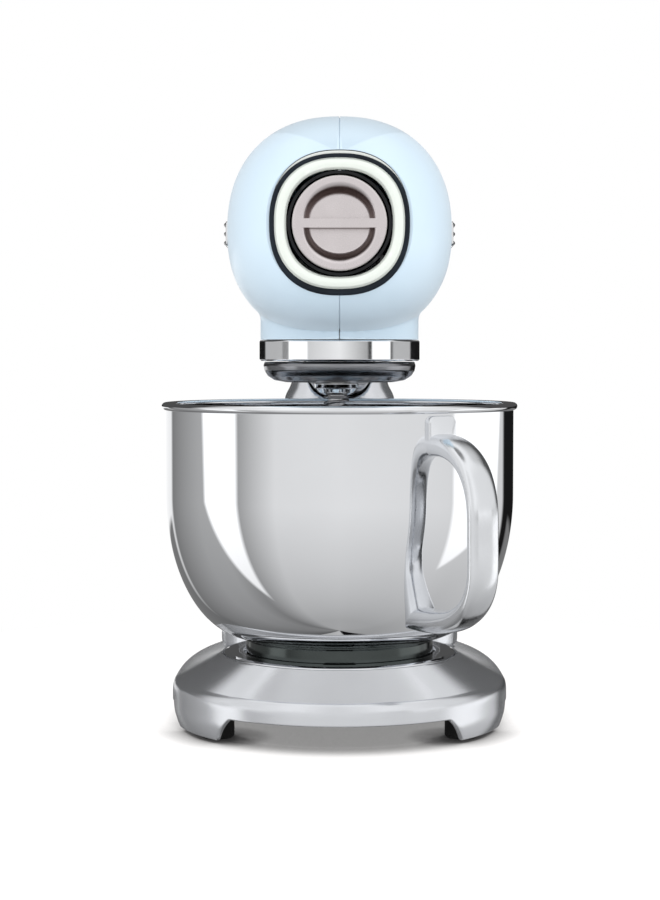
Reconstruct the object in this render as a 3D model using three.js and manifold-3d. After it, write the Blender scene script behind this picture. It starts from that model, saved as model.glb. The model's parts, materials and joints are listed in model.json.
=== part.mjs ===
// A tilt-head stand mixer: a silver base and column carry a hinged, torpedo-shaped head over a
// polished bowl. The head holds a motor, a reduction gear train, a planetary drive for the tool
// shaft and a second drive outlet behind a round cap at the front.
// Millimetres, +Z up, the front faces -Y. The origin is on the surface the mixer stands on, under
// the middle of its outline.
import * as THREE from "three";
import { mergeVertices } from "three/addons/utils/BufferGeometryUtils.js";
import Module from "manifold-3d";

const wasm = await Module();
wasm.setup();

// ---------------------------------------------------------------- driving dimensions
const BOWL_Y = -64.53; // the bowl's axis, in front of the origin
const GAP = 0.35; // between pieces that touch
const SEAM = 0.5; // the joint between the two halves of the head

// Head: a long body with superellipse sections about a level axis
const HEAD_Z = 311; // height of the head's axis
const HEAD_HALF_WIDTH = 69;
const HEAD_UP = 70; // axis to crest
const HEAD_DOWN = 65.5; // axis to belly
const SECTION_POWER = 2.28;
const NOSE_Y = -92; // front plane, where the bezel sits
const NOSE_LENGTH = 107; // length of the curve that the front plane cuts short
const NOSE_POWER = 2.4;
const TAIL_START = 60;
const TAIL_Y = 262.2;
const TAIL_POWER = 2.5;
const WALL = 3;
const NECK_RADIUS = 49;
const NECK_BOTTOM = 245.4;
const NECK_BLEND = 5; // how softly the neck runs into the belly

// Planetary drive: a fixed ring gear and one planet that turns the tool shaft
const BAND_RADIUS = 49.7;
const BAND_HEIGHT = [232.3, 245];
const RING_TEETH = 36;
const PLANET_TEETH = 15;
const PLANET_MODULE = 2;
const HUB_SHAFT = 4.2;
const CARRIER_REST = 5; // degrees that the tool shaft stands to the left of the front at rest
const PLANET_OFFSET = ((RING_TEETH - PLANET_TEETH) * PLANET_MODULE) / 2; // from the hub's axis

// Reduction: motor pinion, layshaft, countershaft, then a bevel pair down to the hub
const BEVEL_TEETH = 18;
const BEVEL_PINION_TEETH = 12;
const BEVEL_MODULE = 2.5;
const STAGE_2 = { module: 1.5, gear: 32, pinion: 8 }; // layshaft to countershaft
const STAGE_1 = { module: 1.25, gear: 36, pinion: 8 }; // motor to layshaft
const COUNTER = { x: 0, z: HEAD_Z };
const LAY = { x: 26.5, z: HEAD_Z - Math.sqrt(spread(STAGE_2) ** 2 - 26.5 ** 2) };
const MOTOR = { x: 0, z: LAY.z + Math.sqrt(spread(STAGE_1) ** 2 - 26.5 ** 2) };

// Front outlet
const BEZEL_HALF = 37.6;
const BEZEL_INNER = 30.4;
const BEZEL_POWER = 2.35;
const CAP_RADIUS = 27.3;

// Hinge of the head, at the top of the column
const HINGE = { y: 168, z: 236 };
const TONGUE_HALF = 23;

// Bowl
const BOWL_RADIUS = 108;
const RIM_Z = 204.4;
const RIM_ROLL = 2.35;
const BOWL_WALL = 1.2;
const BOWL_FLOOR = 61.5;
const FOOT_RADIUS = 58.3;
const HANDLE_ANGLE = (32.5 * Math.PI) / 180; // to the right of the front

// Base
const BASE_RADIUS = 107;
const BASE_CENTRE = 33; // its widest line, behind the bowl's axis
const BASE_REAR = 212; // from that line to the rear end
const BASE_POWER = 2.5;
const SKIRT_Z = 2;
const CREASE_Z = 30.5;
const DECK_Z = 50.4;
const RING_SEAT = 74;

function spread(stage) {
  return (stage.module * (stage.gear + stage.pinion)) / 2;
}

// ---------------------------------------------------------------- solids
function solidOf(geometry) {
  const plain = geometry.index ? geometry.toNonIndexed() : geometry.clone();
  for (const name of Object.keys(plain.attributes)) {
    if (name !== "position") plain.deleteAttribute(name);
  }
  const merged = mergeVertices(plain, 1e-4);
  const index = merged.index.array;
  const kept = [];
  for (let i = 0; i < index.length; i += 3) {
    const [a, b, c] = [index[i], index[i + 1], index[i + 2]];
    if (a !== b && b !== c && c !== a) kept.push(a, b, c);
  }
  const build = (triangles) =>
    new wasm.Manifold(
      new wasm.Mesh({
        numProp: 3,
        vertProperties: merged.attributes.position.array,
        triVerts: new Uint32Array(triangles),
      }),
    );
  const made = build(kept);
  return made.volume() > 0 ? made : build(kept.slice().reverse());
}

function geometryOf(solid) {
  const mesh = solid.getMesh();
  const corners = new Float32Array(mesh.numVert * 3);
  for (let i = 0; i < mesh.numVert; i++) {
    corners.set(mesh.vertProperties.subarray(i * mesh.numProp, i * mesh.numProp + 3), i * 3);
  }
  return new THREE.BufferGeometry()
    .setAttribute("position", new THREE.BufferAttribute(corners, 3))
    .setIndex(new THREE.BufferAttribute(mesh.triVerts, 1));
}

// Closed rings of equally many points, joined in order and closed by a fan at each end.
function loft(rings) {
  const count = rings[0].length;
  const points = rings.flat();
  const triangles = [];
  for (let i = 0; i + 1 < rings.length; i++) {
    for (let j = 0; j < count; j++) {
      const a = i * count + j;
      const b = i * count + ((j + 1) % count);
      triangles.push(a, b, a + count, b, b + count, a + count);
    }
  }
  for (const [start, flip] of [
    [0, true],
    [(rings.length - 1) * count, false],
  ]) {
    const middle = points.length;
    const centre = [0, 1, 2].map((k) => {
      let sum = 0;
      for (let j = 0; j < count; j++) sum += points[start + j][k];
      return sum / count;
    });
    points.push(centre);
    for (let j = 0; j < count; j++) {
      const [a, b] = [start + j, start + ((j + 1) % count)];
      triangles.push(...(flip ? [b, a, middle] : [a, b, middle]));
    }
  }
  const geometry = new THREE.BufferGeometry();
  geometry.setAttribute("position", new THREE.Float32BufferAttribute(points.flat(), 3));
  geometry.setIndex(triangles);
  return solidOf(geometry);
}

const turn = (solid, x, y, z) => solid.rotate([x, y, z]);
const move = (solid, x, y, z) => solid.translate([x, y, z]);

// A body of revolution about Z, from a profile of [radius, z] that ends on the axis or closes.
function lathe(profile, sides = 24) {
  const points = profile.map(([r, z]) => new THREE.Vector2(r, z));
  return turn(solidOf(new THREE.LatheGeometry(points, sides)), 90, 0, 0);
}

function ring(outer, inner, low, high, sides = 24) {
  return lathe(
    [
      [inner, low],
      [outer, low],
      [outer, high],
      [inner, high],
      [inner, low],
    ],
    sides,
  );
}

function disc(radius, low, high, sides = 24) {
  return lathe(
    [
      [0, low],
      [radius, low],
      [radius, high],
      [0, high],
    ],
    sides,
  );
}

// Turns a solid built about Z so that it lies about Y, with its z as y.
const alongY = (solid) => turn(solid, -90, 0, 0);
const alongX = (solid) => turn(solid, 0, 90, 0);

function block(x, y, z) {
  const size = [x, y, z].map(([low, high]) => high - low);
  const middle = [x, y, z].map(([low, high]) => (low + high) / 2);
  return move(solidOf(new THREE.BoxGeometry(...size)), ...middle);
}

function extrude(outline, depth, holes = []) {
  const shape = new THREE.Shape(outline.map(([x, y]) => new THREE.Vector2(x, y)));
  for (const hole of holes) {
    shape.holes.push(new THREE.Path(hole.map(([x, y]) => new THREE.Vector2(x, y))));
  }
  return solidOf(new THREE.ExtrudeGeometry(shape, { depth, bevelEnabled: false }));
}

function circle(radius, sides) {
  return Array.from({ length: sides }, (_, i) => {
    const a = (2 * Math.PI * i) / sides;
    return [radius * Math.cos(a), radius * Math.sin(a)];
  });
}

// The radius, at an angle, of a superellipse with the given half sizes.
function superRadius(angle, a, b, power) {
  const c = Math.abs(Math.cos(angle)) / a;
  const s = Math.abs(Math.sin(angle)) / b;
  return (c ** power + s ** power) ** (-1 / power);
}

function superOutline(a, b, power, sides) {
  return Array.from({ length: sides }, (_, i) => {
    const t = (2 * Math.PI * i) / sides;
    const r = superRadius(t, a, b, power);
    return [r * Math.cos(t), r * Math.sin(t)];
  });
}

// A section carried along a path in a plane through the Z axis. Path points are [radial, z, half
// the thickness there], and halfWidth is the section's reach across the plane.
function strap(path, halfWidth, sides) {
  const curve = new THREE.CatmullRomCurve3(path.map(([r, z, half]) => new THREE.Vector3(r, half, z)));
  const steps = 18;
  const rings = [];
  for (let i = 0; i <= steps; i++) {
    const p = curve.getPointAt(i / steps);
    const t = curve.getTangentAt(i / steps);
    rings.push(
      superOutline(halfWidth, p.y, 2.8, sides).map(([w, n]) => [
        p.x + n * t.z,
        w,
        p.z - n * t.x,
      ]),
    );
  }
  return loft(rings);
}

// ---------------------------------------------------------------- gears
const TOOTH = 0.4; // tooth width at the pitch line, as a share of the pitch

function gearOutline(teeth, module, tipShare, rootShare, phase, share = TOOTH) {
  const radius = (teeth * module) / 2;
  const outline = [];
  const slope = Math.tan((20 * Math.PI) / 180);
  for (let i = 0; i < teeth; i++) {
    const middle = phase + (2 * Math.PI * i) / teeth;
    const half = (share * Math.PI * module) / 2;
    const corner = (height, side) => {
      const r = radius + height * module;
      const width = half - height * module * slope;
      return [r * Math.cos(middle + (side * width) / r), r * Math.sin(middle + (side * width) / r)];
    };
    outline.push(
      corner(-rootShare, -1),
      corner(tipShare, -1),
      corner(tipShare, 1),
      corner(-rootShare, 1),
    );
  }
  return outline;
}

// A spur gear about Z with a tooth pointing at the angle `toward`, or a gap if `open` is set.
function spurGear(teeth, module, width, bore, toward = 0, open = false) {
  const phase = toward + (open ? Math.PI / teeth : 0);
  const outline = gearOutline(teeth, module, 0.75, 1.25, phase);
  return extrude(outline, width, bore ? [circle(bore, 16)] : []);
}

// A straight bevel gear about Z: the outline at the large end shrinks towards the apex.
function bevelGear(teeth, module, apexHeight, shrink, bore, toward, open) {
  const phase = toward + (open ? Math.PI / teeth : 0);
  const outline = gearOutline(teeth, module, 0.75, 1.3, phase);
  const ringAt = (k) => outline.map(([x, y]) => [x * k, y * k, apexHeight * (1 - k)]);
  return loft([ringAt(1), ringAt(shrink)]).subtract(disc(bore, -1, apexHeight, 16));
}

// ---------------------------------------------------------------- head
function headScale(y) {
  if (y < 0) return (1 - Math.min(1, -y / NOSE_LENGTH) ** NOSE_POWER) ** (1 / NOSE_POWER);
  if (y < TAIL_START) return 1;
  const t = Math.min(1, (y - TAIL_START) / (TAIL_Y - TAIL_START));
  return (1 - t ** TAIL_POWER) ** (1 / TAIL_POWER);
}

// How far the neck reaches from the head's axis at an angle below it, at one station.
function neckReach(angle, y, radius) {
  const half = Math.sqrt(Math.max(0, radius * radius - y * y));
  const across = half / Math.max(1e-6, Math.abs(Math.cos(angle)));
  const deepest = HEAD_Z - NECK_BOTTOM + 60;
  return half > 0 ? Math.min(across, deepest / Math.abs(Math.sin(angle))) : 0;
}

// The head's surface as a solid, moved in by `inset`, from the front plane to the tail.
function headSolid(inset, front, sides) {
  const tail = [0.2, 0.38, 0.55, 0.7, 0.82, 0.91, 0.965, 0.99, 0.9995];
  const length = TAIL_Y - inset - TAIL_START;
  const stations = [front, -78, -62, -49.5, -44, -33, -17, 0, 17, 33, 44, 49.5, TAIL_START];
  stations.push(...tail.map((t) => TAIL_START + t * length));
  const rings = stations.map((y) => {
    const past = ((y - TAIL_START) * (TAIL_Y - TAIL_START)) / length;
    const scale = headScale(y < TAIL_START ? y : TAIL_START + past);
    return Array.from({ length: sides }, (_, i) => {
      const angle = (2 * Math.PI * i) / sides;
      const below = Math.sin(angle) < -1e-6;
      const shell = superRadius(angle, HEAD_HALF_WIDTH, below ? HEAD_DOWN : HEAD_UP, SECTION_POWER);
      const body = Math.max(0.4, shell * scale - inset);
      const neck = below ? neckReach(angle, y, NECK_RADIUS - inset) : 0;
      const near = Math.max(0, 1 - Math.abs(body - neck) / NECK_BLEND);
      const r = Math.max(body, neck) + (near * near * NECK_BLEND) / 4;
      return [r * Math.cos(angle), y, HEAD_Z + r * Math.sin(angle)];
    });
  });
  return loft(rings);
}

const FAR = 400;
const LEVER = { middle: 164, z: 375.4, travel: 18, tilt: -8.4 }; // its slot, on the crest

function headShell(side) {
  const [low, high] = side < 0 ? [-FAR, -SEAM / 2] : [SEAM / 2, FAR];
  const wall = headSolid(0, NOSE_Y, 32).subtract(headSolid(WALL, NOSE_Y - 4, 24));
  const openings = [
    block([-FAR, FAR], [-FAR, FAR], [0, NECK_BOTTOM]),
    block([-TONGUE_HALF - 2, TONGUE_HALF + 2], [96, 190], [200, 275]),
    block([-3.4, 3.4], [LEVER.middle - 24, LEVER.middle + 24], [340, FAR]),
  ];
  return openings
    .reduce((made, cut) => made.subtract(cut), wall)
    .intersect(block([low, high], [-FAR, FAR], [0, FAR + 100]));
}

function bearing(outer, inner, width) {
  return ring(outer, inner, 0, width, 16);
}

const BEARING = { outer: 13, width: 6, seat: 13.4 };
const DECK = [250.5, 256];
const BRIDGE = [268, 273];

// The tongue that reaches down from the frame into the column, around the hinge pin.
function tongue() {
  const outline = [
    [116.5, 250.6],
    [116.5, 214],
    [118.5, 210.6],
    [122, 209.4],
    [132, 211.4],
    [145, 222],
    ...Array.from({ length: 7 }, (_, i) => {
      const a = (-90 + 24 * i) * (Math.PI / 180);
      return [HINGE.y + 14 * Math.cos(a), HINGE.z + 14 * Math.sin(a)];
    }),
    [HINGE.y + 7, 250.6],
  ];
  const plane = extrude(outline.map(([y, z]) => [z, y]), 60);
  const side = move(turn(plane, 0, -90, 0), 30, 0, 0);
  const hull = superOutline(TONGUE_HALF, 29, 2.6, 24).map(([x, z]) => [x, -z]);
  const round = move(alongY(extrude(hull, 100)), 0, 95, HINGE.z);
  const upper = block([-TONGUE_HALF, TONGUE_HALF], [90, 190], [HINGE.z, 260]);
  const pin = move(alongX(disc(5.4, -40, 40, 16)), 0, HINGE.y, HINGE.z);
  return side.intersect(round.add(upper)).subtract(pin);
}

// The cast frame inside the head: deck, uprights and bridge with their bearing seats.
function headFrame() {
  const seat = (height) => disc(BEARING.seat, height - 8, height + 8, 16);
  const hole = (radius, axis, y) => move(alongY(disc(radius, y - 6, y + 6, 16)), axis.x, 0, axis.z);
  const brushArm = (side) => {
    const x = [14 * side, 24 * side].sort((a, b) => a - b);
    return block(x, [166, 175], [256, MOTOR.z - 4.35]);
  };
  const parts = [
    disc(45.2, ...DECK, 28),
    ring(45.2, 41.5, 243.6, 252, 28),
    block([-26, 26], [30, 186], [251, 257]),
    block([-24, 24], [-56, 50], BRIDGE),
    block([-20, 20], [116, 148], [252, 275]),
    block([-24, 24], [-56, -50], [258, 328]),
    block([-30, 44], [44, 50], [251, 332]),
    block([-36, 44], [84, 90], [251, 338]),
    block([-26, 26], [186, 192], [262, 330]),
    block([-26, 26], [150, 192], [256, 266]),
    block([-5, 5], [186, 192], [320, 349.6]),
    brushArm(-1),
    brushArm(1),
  ];
  const cuts = [
    seat(DECK[0]),
    seat(BRIDGE[0]),
    hole(BEARING.seat, COUNTER, -53),
    hole(5.4, COUNTER, 47),
    hole(4.4, LAY, 47),
    hole(4.4, LAY, 87),
    hole(5.2, MOTOR, 87),
    hole(10.4, MOTOR, 189),
    move(alongY(disc(36.5, 100, 160, 24)), MOTOR.x, 0, MOTOR.z),
  ];
  const joined = parts.reduce((made, part) => made.add(part));
  const inside = joined.intersect(headSolid(WALL + 1.2, NOSE_Y, 24));
  return cuts.reduce((made, cut) => made.subtract(cut), inside);
}

// ---------------------------------------------------------------- front outlet
function superRing(half, hole, power, low, high, sides = 32) {
  const outer = superOutline(half, half, power, sides);
  const inner = superOutline(hole, hole, power, sides);
  return move(alongY(extrude(outer, high - low, [inner])), 0, low, HEAD_Z);
}

function bezel() {
  const levels = [
    [BEZEL_HALF - 0.6, -92.4],
    [BEZEL_HALF, -94.5],
    [BEZEL_HALF - 1.6, -98.2],
    [(BEZEL_HALF + BEZEL_INNER) / 2, -99.4],
    [BEZEL_INNER + 1.2, -98.4],
    [BEZEL_INNER, -95.5],
    [BEZEL_INNER, -92.4],
    [BEZEL_HALF - 0.6, -92.4],
  ];
  const sides = 32;
  const rows = levels.map(([half, y]) =>
    superOutline(half, half, BEZEL_POWER, sides).map(([x, z]) => [x, y, HEAD_Z + z]),
  );
  const triangles = [];
  const points = rows.flat().flat();
  for (let i = 0; i + 1 < rows.length; i++) {
    for (let j = 0; j < sides; j++) {
      const a = i * sides + j;
      const b = i * sides + ((j + 1) % sides);
      triangles.push(a, b, a + sides, b, b + sides, a + sides);
    }
  }
  const geometry = new THREE.BufferGeometry();
  geometry.setAttribute("position", new THREE.Float32BufferAttribute(points, 3));
  geometry.setIndex(triangles);
  return solidOf(geometry);
}

const HOUSING = { outer: 29.9, inner: 28.2, front: -96.5, floor: -82 };

function outletHousing() {
  const profile = [
    [13, HOUSING.floor],
    [HOUSING.inner, HOUSING.floor],
    [HOUSING.inner, HOUSING.front],
    [HOUSING.outer, HOUSING.front],
    [HOUSING.outer, HOUSING.floor + 3],
    [13, HOUSING.floor + 3],
    [13, HOUSING.floor],
  ];
  return move(alongY(lathe(profile, 28)), 0, 0, HEAD_Z);
}

// The round cap has two D-shaped finger wells either side of a straight grip bar.
function accessoryCap() {
  const face = -98;
  const well = (sign) => {
    const half = (a, b) =>
      Array.from({ length: 11 }, (_, i) => {
        const t = (Math.PI * i) / 10;
        return [a * Math.cos(t), sign * (2.6 + b * Math.sin(t) ** 0.9)];
      });
    const ringAt = (a, b, y) => half(a, b).map(([x, z]) => [x, y, HEAD_Z + z]);
    return loft([ringAt(21, 20.8, face - 1), ringAt(16.9, 14, face + 7)]);
  };
  const profile = [
    [0, face],
    [CAP_RADIUS - 1.2, face],
    [CAP_RADIUS, face + 1.2],
    [CAP_RADIUS, face + 13],
    [0, face + 13],
  ];
  const cap = move(alongY(lathe(profile, 36)), 0, 0, HEAD_Z);
  return cap.subtract(well(1)).subtract(well(-1));
}

// A fluted trim bar on the head's side, in place of lettering.
function sideTrim(side) {
  const inner = HEAD_HALF_WIDTH + GAP;
  const plate = block([inner, inner + 1], [-4, 58], [HEAD_Z - 7.6, HEAD_Z + 7.6]);
  const rib = (z) => block([inner + 0.5, inner + 2.6], [-4, 58], [z - 1.7, z + 1.7]);
  const bar = plate.add(rib(HEAD_Z - 5.6)).add(rib(HEAD_Z)).add(rib(HEAD_Z + 5.6));
  return side > 0 ? bar : turn(move(bar, 0, -27, 0), 0, 0, 180).translate([0, 27, 0]);
}

// ---------------------------------------------------------------- planetary drive
function onTool(solid) {
  const angle = (-CARRIER_REST * Math.PI) / 180;
  return move(solid, PLANET_OFFSET * Math.sin(angle), -PLANET_OFFSET * Math.cos(angle), 0);
}

function planetaryHub() {
  const profile = [
    [0, 219.2],
    [34, 219.2],
    [40.5, 220.4],
    [44.6, 223],
    [46.7, 226.2],
    [47.3, 229.6],
    [46.4, 231.8],
    [0, 231.8],
  ];
  return lathe(profile, 32)
    .subtract(ring(42, 12, 224, 240, 24))
    .add(onTool(disc(10, 223, 231.8, 16)))
    .subtract(disc(HUB_SHAFT + GAP, 221.6, 240, 16))
    .subtract(onTool(disc(5.6, 210, 240, 16)));
}

// The fixed ring's teeth point inwards: the hole between them is the outline of a gear.
function ringGear() {
  const gaps = gearOutline(RING_TEETH, PLANET_MODULE, 1.25, 0.7, -Math.PI / 2, 1 - TOOTH);
  return move(extrude(circle(46.6, 36), 9.4, [gaps]), 0, 0, 233.6);
}

// A coil of round wire about Z.
function coil(radius, wire, low, high, turns) {
  const perTurn = 8;
  const steps = turns * perTurn;
  const rings = Array.from({ length: steps + 1 }, (_, i) => {
    const a = (2 * Math.PI * i) / perTurn;
    const z = low + wire + ((high - low - 2 * wire) * i) / steps;
    return circle(wire, 4).map(([u, v]) => [
      (radius + u) * Math.cos(a),
      (radius + u) * Math.sin(a),
      z + v,
    ]);
  });
  return loft(rings);
}

// ---------------------------------------------------------------- motor
function coolingFan() {
  const blades = 8;
  const blade = block([11, 30], [-0.8, 0.8], [0, 8]);
  let fan = ring(12, 4.3, 0, 9, 16).add(ring(31, 11, 7.6, 9, 24));
  for (let i = 0; i < blades; i++) fan = fan.add(turn(blade, 0, 0, (360 * i) / blades));
  return fan;
}

function rotorCore() {
  const slots = 8;
  const slot = block([15, 20], [-1.2, 1.2], [-1, 60]);
  let core = ring(18.8, 4.3, 0, 40, 24);
  for (let i = 0; i < slots; i++) core = core.subtract(turn(slot, 0, 0, (360 * (i + 0.5)) / slots));
  return core;
}

function statorCore() {
  const bore = disc(19.6, -1, 60, 24);
  const slots = block([-25, 25], [-12, 12], [-1, 60]);
  return disc(36, 0, 40, 28).subtract(bore).subtract(slots);
}

// ---------------------------------------------------------------- bowl
const WELL = [
  [74.6, 64.8],
  [81.8, 72.2],
  [90.5, 83.4],
  [98.2, 98.4],
  [104.2, 114],
  [107.2, 134],
];

function bowl() {
  const roll = Array.from({ length: 7 }, (_, i) => {
    const a = (-100 + 46 * i) * (Math.PI / 180);
    return [BOWL_RADIUS + RIM_ROLL * Math.cos(a), RIM_Z + RIM_ROLL * Math.sin(a)];
  });
  const inner = WELL.map(([r, z]) => [r - BOWL_WALL, z + BOWL_WALL * 0.6]).reverse();
  const profile = [
    [0, BOWL_FLOOR],
    [66, BOWL_FLOOR],
    ...WELL,
    [BOWL_RADIUS, 160],
    ...roll,
    [BOWL_RADIUS - BOWL_WALL, 160],
    ...inner,
    [66, BOWL_FLOOR + BOWL_WALL],
    [0, BOWL_FLOOR + BOWL_WALL],
  ];
  return lathe(profile, 36);
}

const LUG = [48.9, 50.4];

function bowlFootRing() {
  const wall = ring(FOOT_RADIUS, 55.5, 48.7, BOWL_FLOOR - GAP, 36);
  const lug = block([57, 61.4], [-8, 8], LUG);
  return [0, 120, 240].reduce((made, a) => made.add(turn(lug, 0, 0, a)), wall);
}

function bowlHandle() {
  const path = [
    [105, 184.2, 6.6],
    [120, 183, 6.4],
    [132, 178.2, 5.6],
    [141.5, 169.5, 4.9],
    [148.4, 155, 4.2],
    [150, 132, 4],
    [149, 107.6, 4.1],
    [142, 95.4, 4.9],
    [129.6, 86.6, 6],
    [112, 82.2, 6.8],
    [82, 81.2, 6.6],
  ];
  const grip = strap(path, 10, 12);
  const plate = block([104, 110.6], [-9.6, 9.6], [178, 201]);
  const bowlBody = disc(BOWL_RADIUS + GAP, 110, 230, 80);
  const lower = lathe(
    [
      [0, 50],
      ...[[66, BOWL_FLOOR], ...WELL].map(([r, z]) => [r + 0.6, z - 0.2]),
      [BOWL_RADIUS + GAP, 160],
      [0, 160],
    ],
    80,
  );
  const made = grip.add(plate).subtract(bowlBody).subtract(lower);
  const outside = made
    .decompose()
    .sort((a, b) => b.volume() - a.volume())[0];
  return turn(outside, 0, 0, -90 + (HANDLE_ANGLE * 180) / Math.PI);
}

function lockRing() {
  const profile = [
    [0, 44.6],
    [72.2, 44.6],
    [72.2, 51],
    [70, 52],
    [60, 52],
    [59.4, 51.4],
    [59.4, 50.8],
    [62.4, 50.8],
    [62.4, 48.3],
    [0, 48.3],
  ];
  const entry = block([58, 62.4], [-9.5, 9.5], [48.3, 60]);
  const entries = [30, 150, 270].map((a) => turn(entry, 0, 0, a));
  return entries.reduce((made, cut) => made.subtract(cut), lathe(profile, 36));
}

// ---------------------------------------------------------------- base and column
function baseOutline(inset, sides) {
  return Array.from({ length: sides }, (_, i) => {
    const t = (2 * Math.PI * i) / sides;
    const rear = Math.sin(t) > 0;
    const r = rear
      ? superRadius(t, BASE_RADIUS - inset, BASE_REAR - inset, BASE_POWER)
      : BASE_RADIUS - inset;
    return [r * Math.cos(t), BASE_CENTRE + r * Math.sin(t)];
  });
}

function baseSolid(inset, low, sides = 40) {
  const flat = (offset, z) => baseOutline(inset + offset, sides).map(([x, y]) => [x, y, z]);
  const crease = baseOutline(inset + 2.8, sides);
  const seat = circle(RING_SEAT - inset, sides);
  const slope = [0.12, 0.4, 0.7, 1].map((t) =>
    crease.map(([x, y], i) => [
      x + (seat[i][0] - x) * t,
      y + (seat[i][1] - y) * t,
      CREASE_Z - inset + (DECK_Z - CREASE_Z) * t ** 1.05,
    ]),
  );
  return loft([
    flat(2.4, low),
    flat(0, low + 10),
    flat(0, CREASE_Z - 8 - inset),
    flat(0.9, CREASE_Z - 3 - inset),
    crease.map(([x, y]) => [x, y, CREASE_Z - inset]),
    ...slope,
  ]);
}

const ARCH_Z = 16.5;

// An arch in the skirt, seen along Y, with sloping ends.
function arch(halfWidth, from, to) {
  const outline = [
    [-halfWidth, -5],
    [-halfWidth, SKIRT_Z],
    [-halfWidth + 5, ARCH_Z - 4],
    [-halfWidth + 10, ARCH_Z],
    [halfWidth - 10, ARCH_Z],
    [halfWidth - 5, ARCH_Z - 4],
    [halfWidth, SKIRT_Z],
    [halfWidth, -5],
  ];
  return move(alongY(extrude(outline.map(([x, z]) => [x, -z]), to - from)), 0, from, 0);
}

const COLUMN_FOOT = 34;

const SHOULDER = { low: 206, high: 218, width: 4 };

// The column's outline at a height: a rounded box that narrows as it rises, with a shoulder
// under the hinge.
function columnRing(z, grow, sides = 24) {
  const share = Math.min(1, Math.max(0, (z - 45) / (HINGE.z - 45)));
  const under = Math.min(1, Math.max(0, (SHOULDER.high - z) / (SHOULDER.high - SHOULDER.low)));
  const shoulder = SHOULDER.width * under * under * (3 - 2 * under);
  const halfWidth = 33 + 46 * (1 - share) ** 2 + shoulder;
  const front = 97 + 21 * share ** 0.6;
  const rear = 189.5 + 37.5 * (1 - share) ** 1.8;
  const middle = (front + rear) / 2;
  return Array.from({ length: sides }, (_, i) => {
    const t = (2 * Math.PI * i) / sides;
    const r = superRadius(t, halfWidth + grow, (rear - front) / 2 + grow, 3.2);
    return [r * Math.cos(t), middle + r * Math.sin(t), z];
  });
}

function columnSolid(grow, low, high) {
  const levels = [45, 62, 84, 112, 150, SHOULDER.low, 212, SHOULDER.high, 236];
  const between = levels.filter((z) => z > low && z < high);
  return loft([low, ...between, high].map((z) => columnRing(z, grow)));
}

const BUTTON = { z: 206, radius: 9 };

function column() {
  const hollow = columnSolid(-4, COLUMN_FOOT - 5, 188);
  const throat = superOutline(TONGUE_HALF + 1.2, 30.4, 2.6, 24).map(([x, z]) => [x, -z]);
  const cuts = [
    hollow,
    headSolid(-1.6, NOSE_Y, 24),
    move(alongY(extrude(throat, 64)), 0, 82, HINGE.z),
    block([-TONGUE_HALF - 1.2, TONGUE_HALF + 1.2], [80, 220], [HINGE.z, 300]),
    block([-TONGUE_HALF - 1.2, TONGUE_HALF + 1.2], [142, 183], [HINGE.z - 14.8, 300]),
    block([-60, 60], [HINGE.y, 240], [HINGE.z, 300]).subtract(
      move(alongX(disc(14.6, -70, 70, 24)), 0, HINGE.y, HINGE.z),
    ),
    move(alongX(disc(5.35, -60, 60, 16)), 0, HINGE.y, HINGE.z),
    move(alongY(disc(BUTTON.radius + GAP, 172, 230, 20)), 0, 0, BUTTON.z),
    move(alongY(disc(4.4, 140, 230, 16)), 0, 0, BUTTON.z),
  ];
  return cuts.reduce((made, cut) => made.subtract(cut), columnSolid(0, COLUMN_FOOT, 262));
}

function base() {
  const cuts = [
    baseSolid(4, -3),
    columnSolid(GAP, COLUMN_FOOT - 0.4, 80),
    disc(72.6, 44.2, 80, 40),
    arch(77, -140, -30),
    arch(48, 190, 300),
    move(turn(arch(84, -140, 140), 0, 0, 90), 0, 87, 0),
    move(alongY(disc(6.4, 200, 300, 16)), 0, 0, 24),
  ];
  return cuts.reduce((made, cut) => made.subtract(cut), baseSolid(0, SKIRT_Z).add(deckBosses()));
}

// Material left under the deck, so that the lock ring and the column have something to sit on.
function deckBosses() {
  return disc(73, 40, 44.6, 40);
}

function bottomPlate() {
  return move(extrude(baseOutline(8, 40), 1.5), 0, 0, ARCH_Z + 1);
}

// ---------------------------------------------------------------- the assembly
const mixer = new THREE.Group();
mixer.position.y = BOWL_Y;

const FINISH = {
  paint: [0xd2e7f7, 0.22, 0],
  silver: [0xb4b8bd, 0.38, 0.6],
  steel: [0xc9ccd0, 0.12, 1],
  chrome: [0xe4e6e8, 0.06, 1],
  pale: [0xeaf1e6, 0.3, 0.4],
  taupe: [0xcdc5c4, 0.42, 0.5],
  black: [0x101214, 0.45, 0],
  rubber: [0x141414, 0.8, 0],
  gear: [0x8b8f94, 0.35, 0.9],
  casting: [0x9ea2a6, 0.6, 0.7],
  copper: [0xb06a3a, 0.4, 0.8],
  iron: [0x55585c, 0.5, 0.7],
  board: [0x1f5a3c, 0.55, 0],
};

function add(name, finish, solid) {
  const [color, roughness, metalness] = FINISH[finish];
  const material = new THREE.MeshStandardMaterial({ color, roughness, metalness });
  const mesh = new THREE.Mesh(geometryOf(solid), material);
  mesh.name = name;
  mixer.add(mesh);
}

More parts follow.
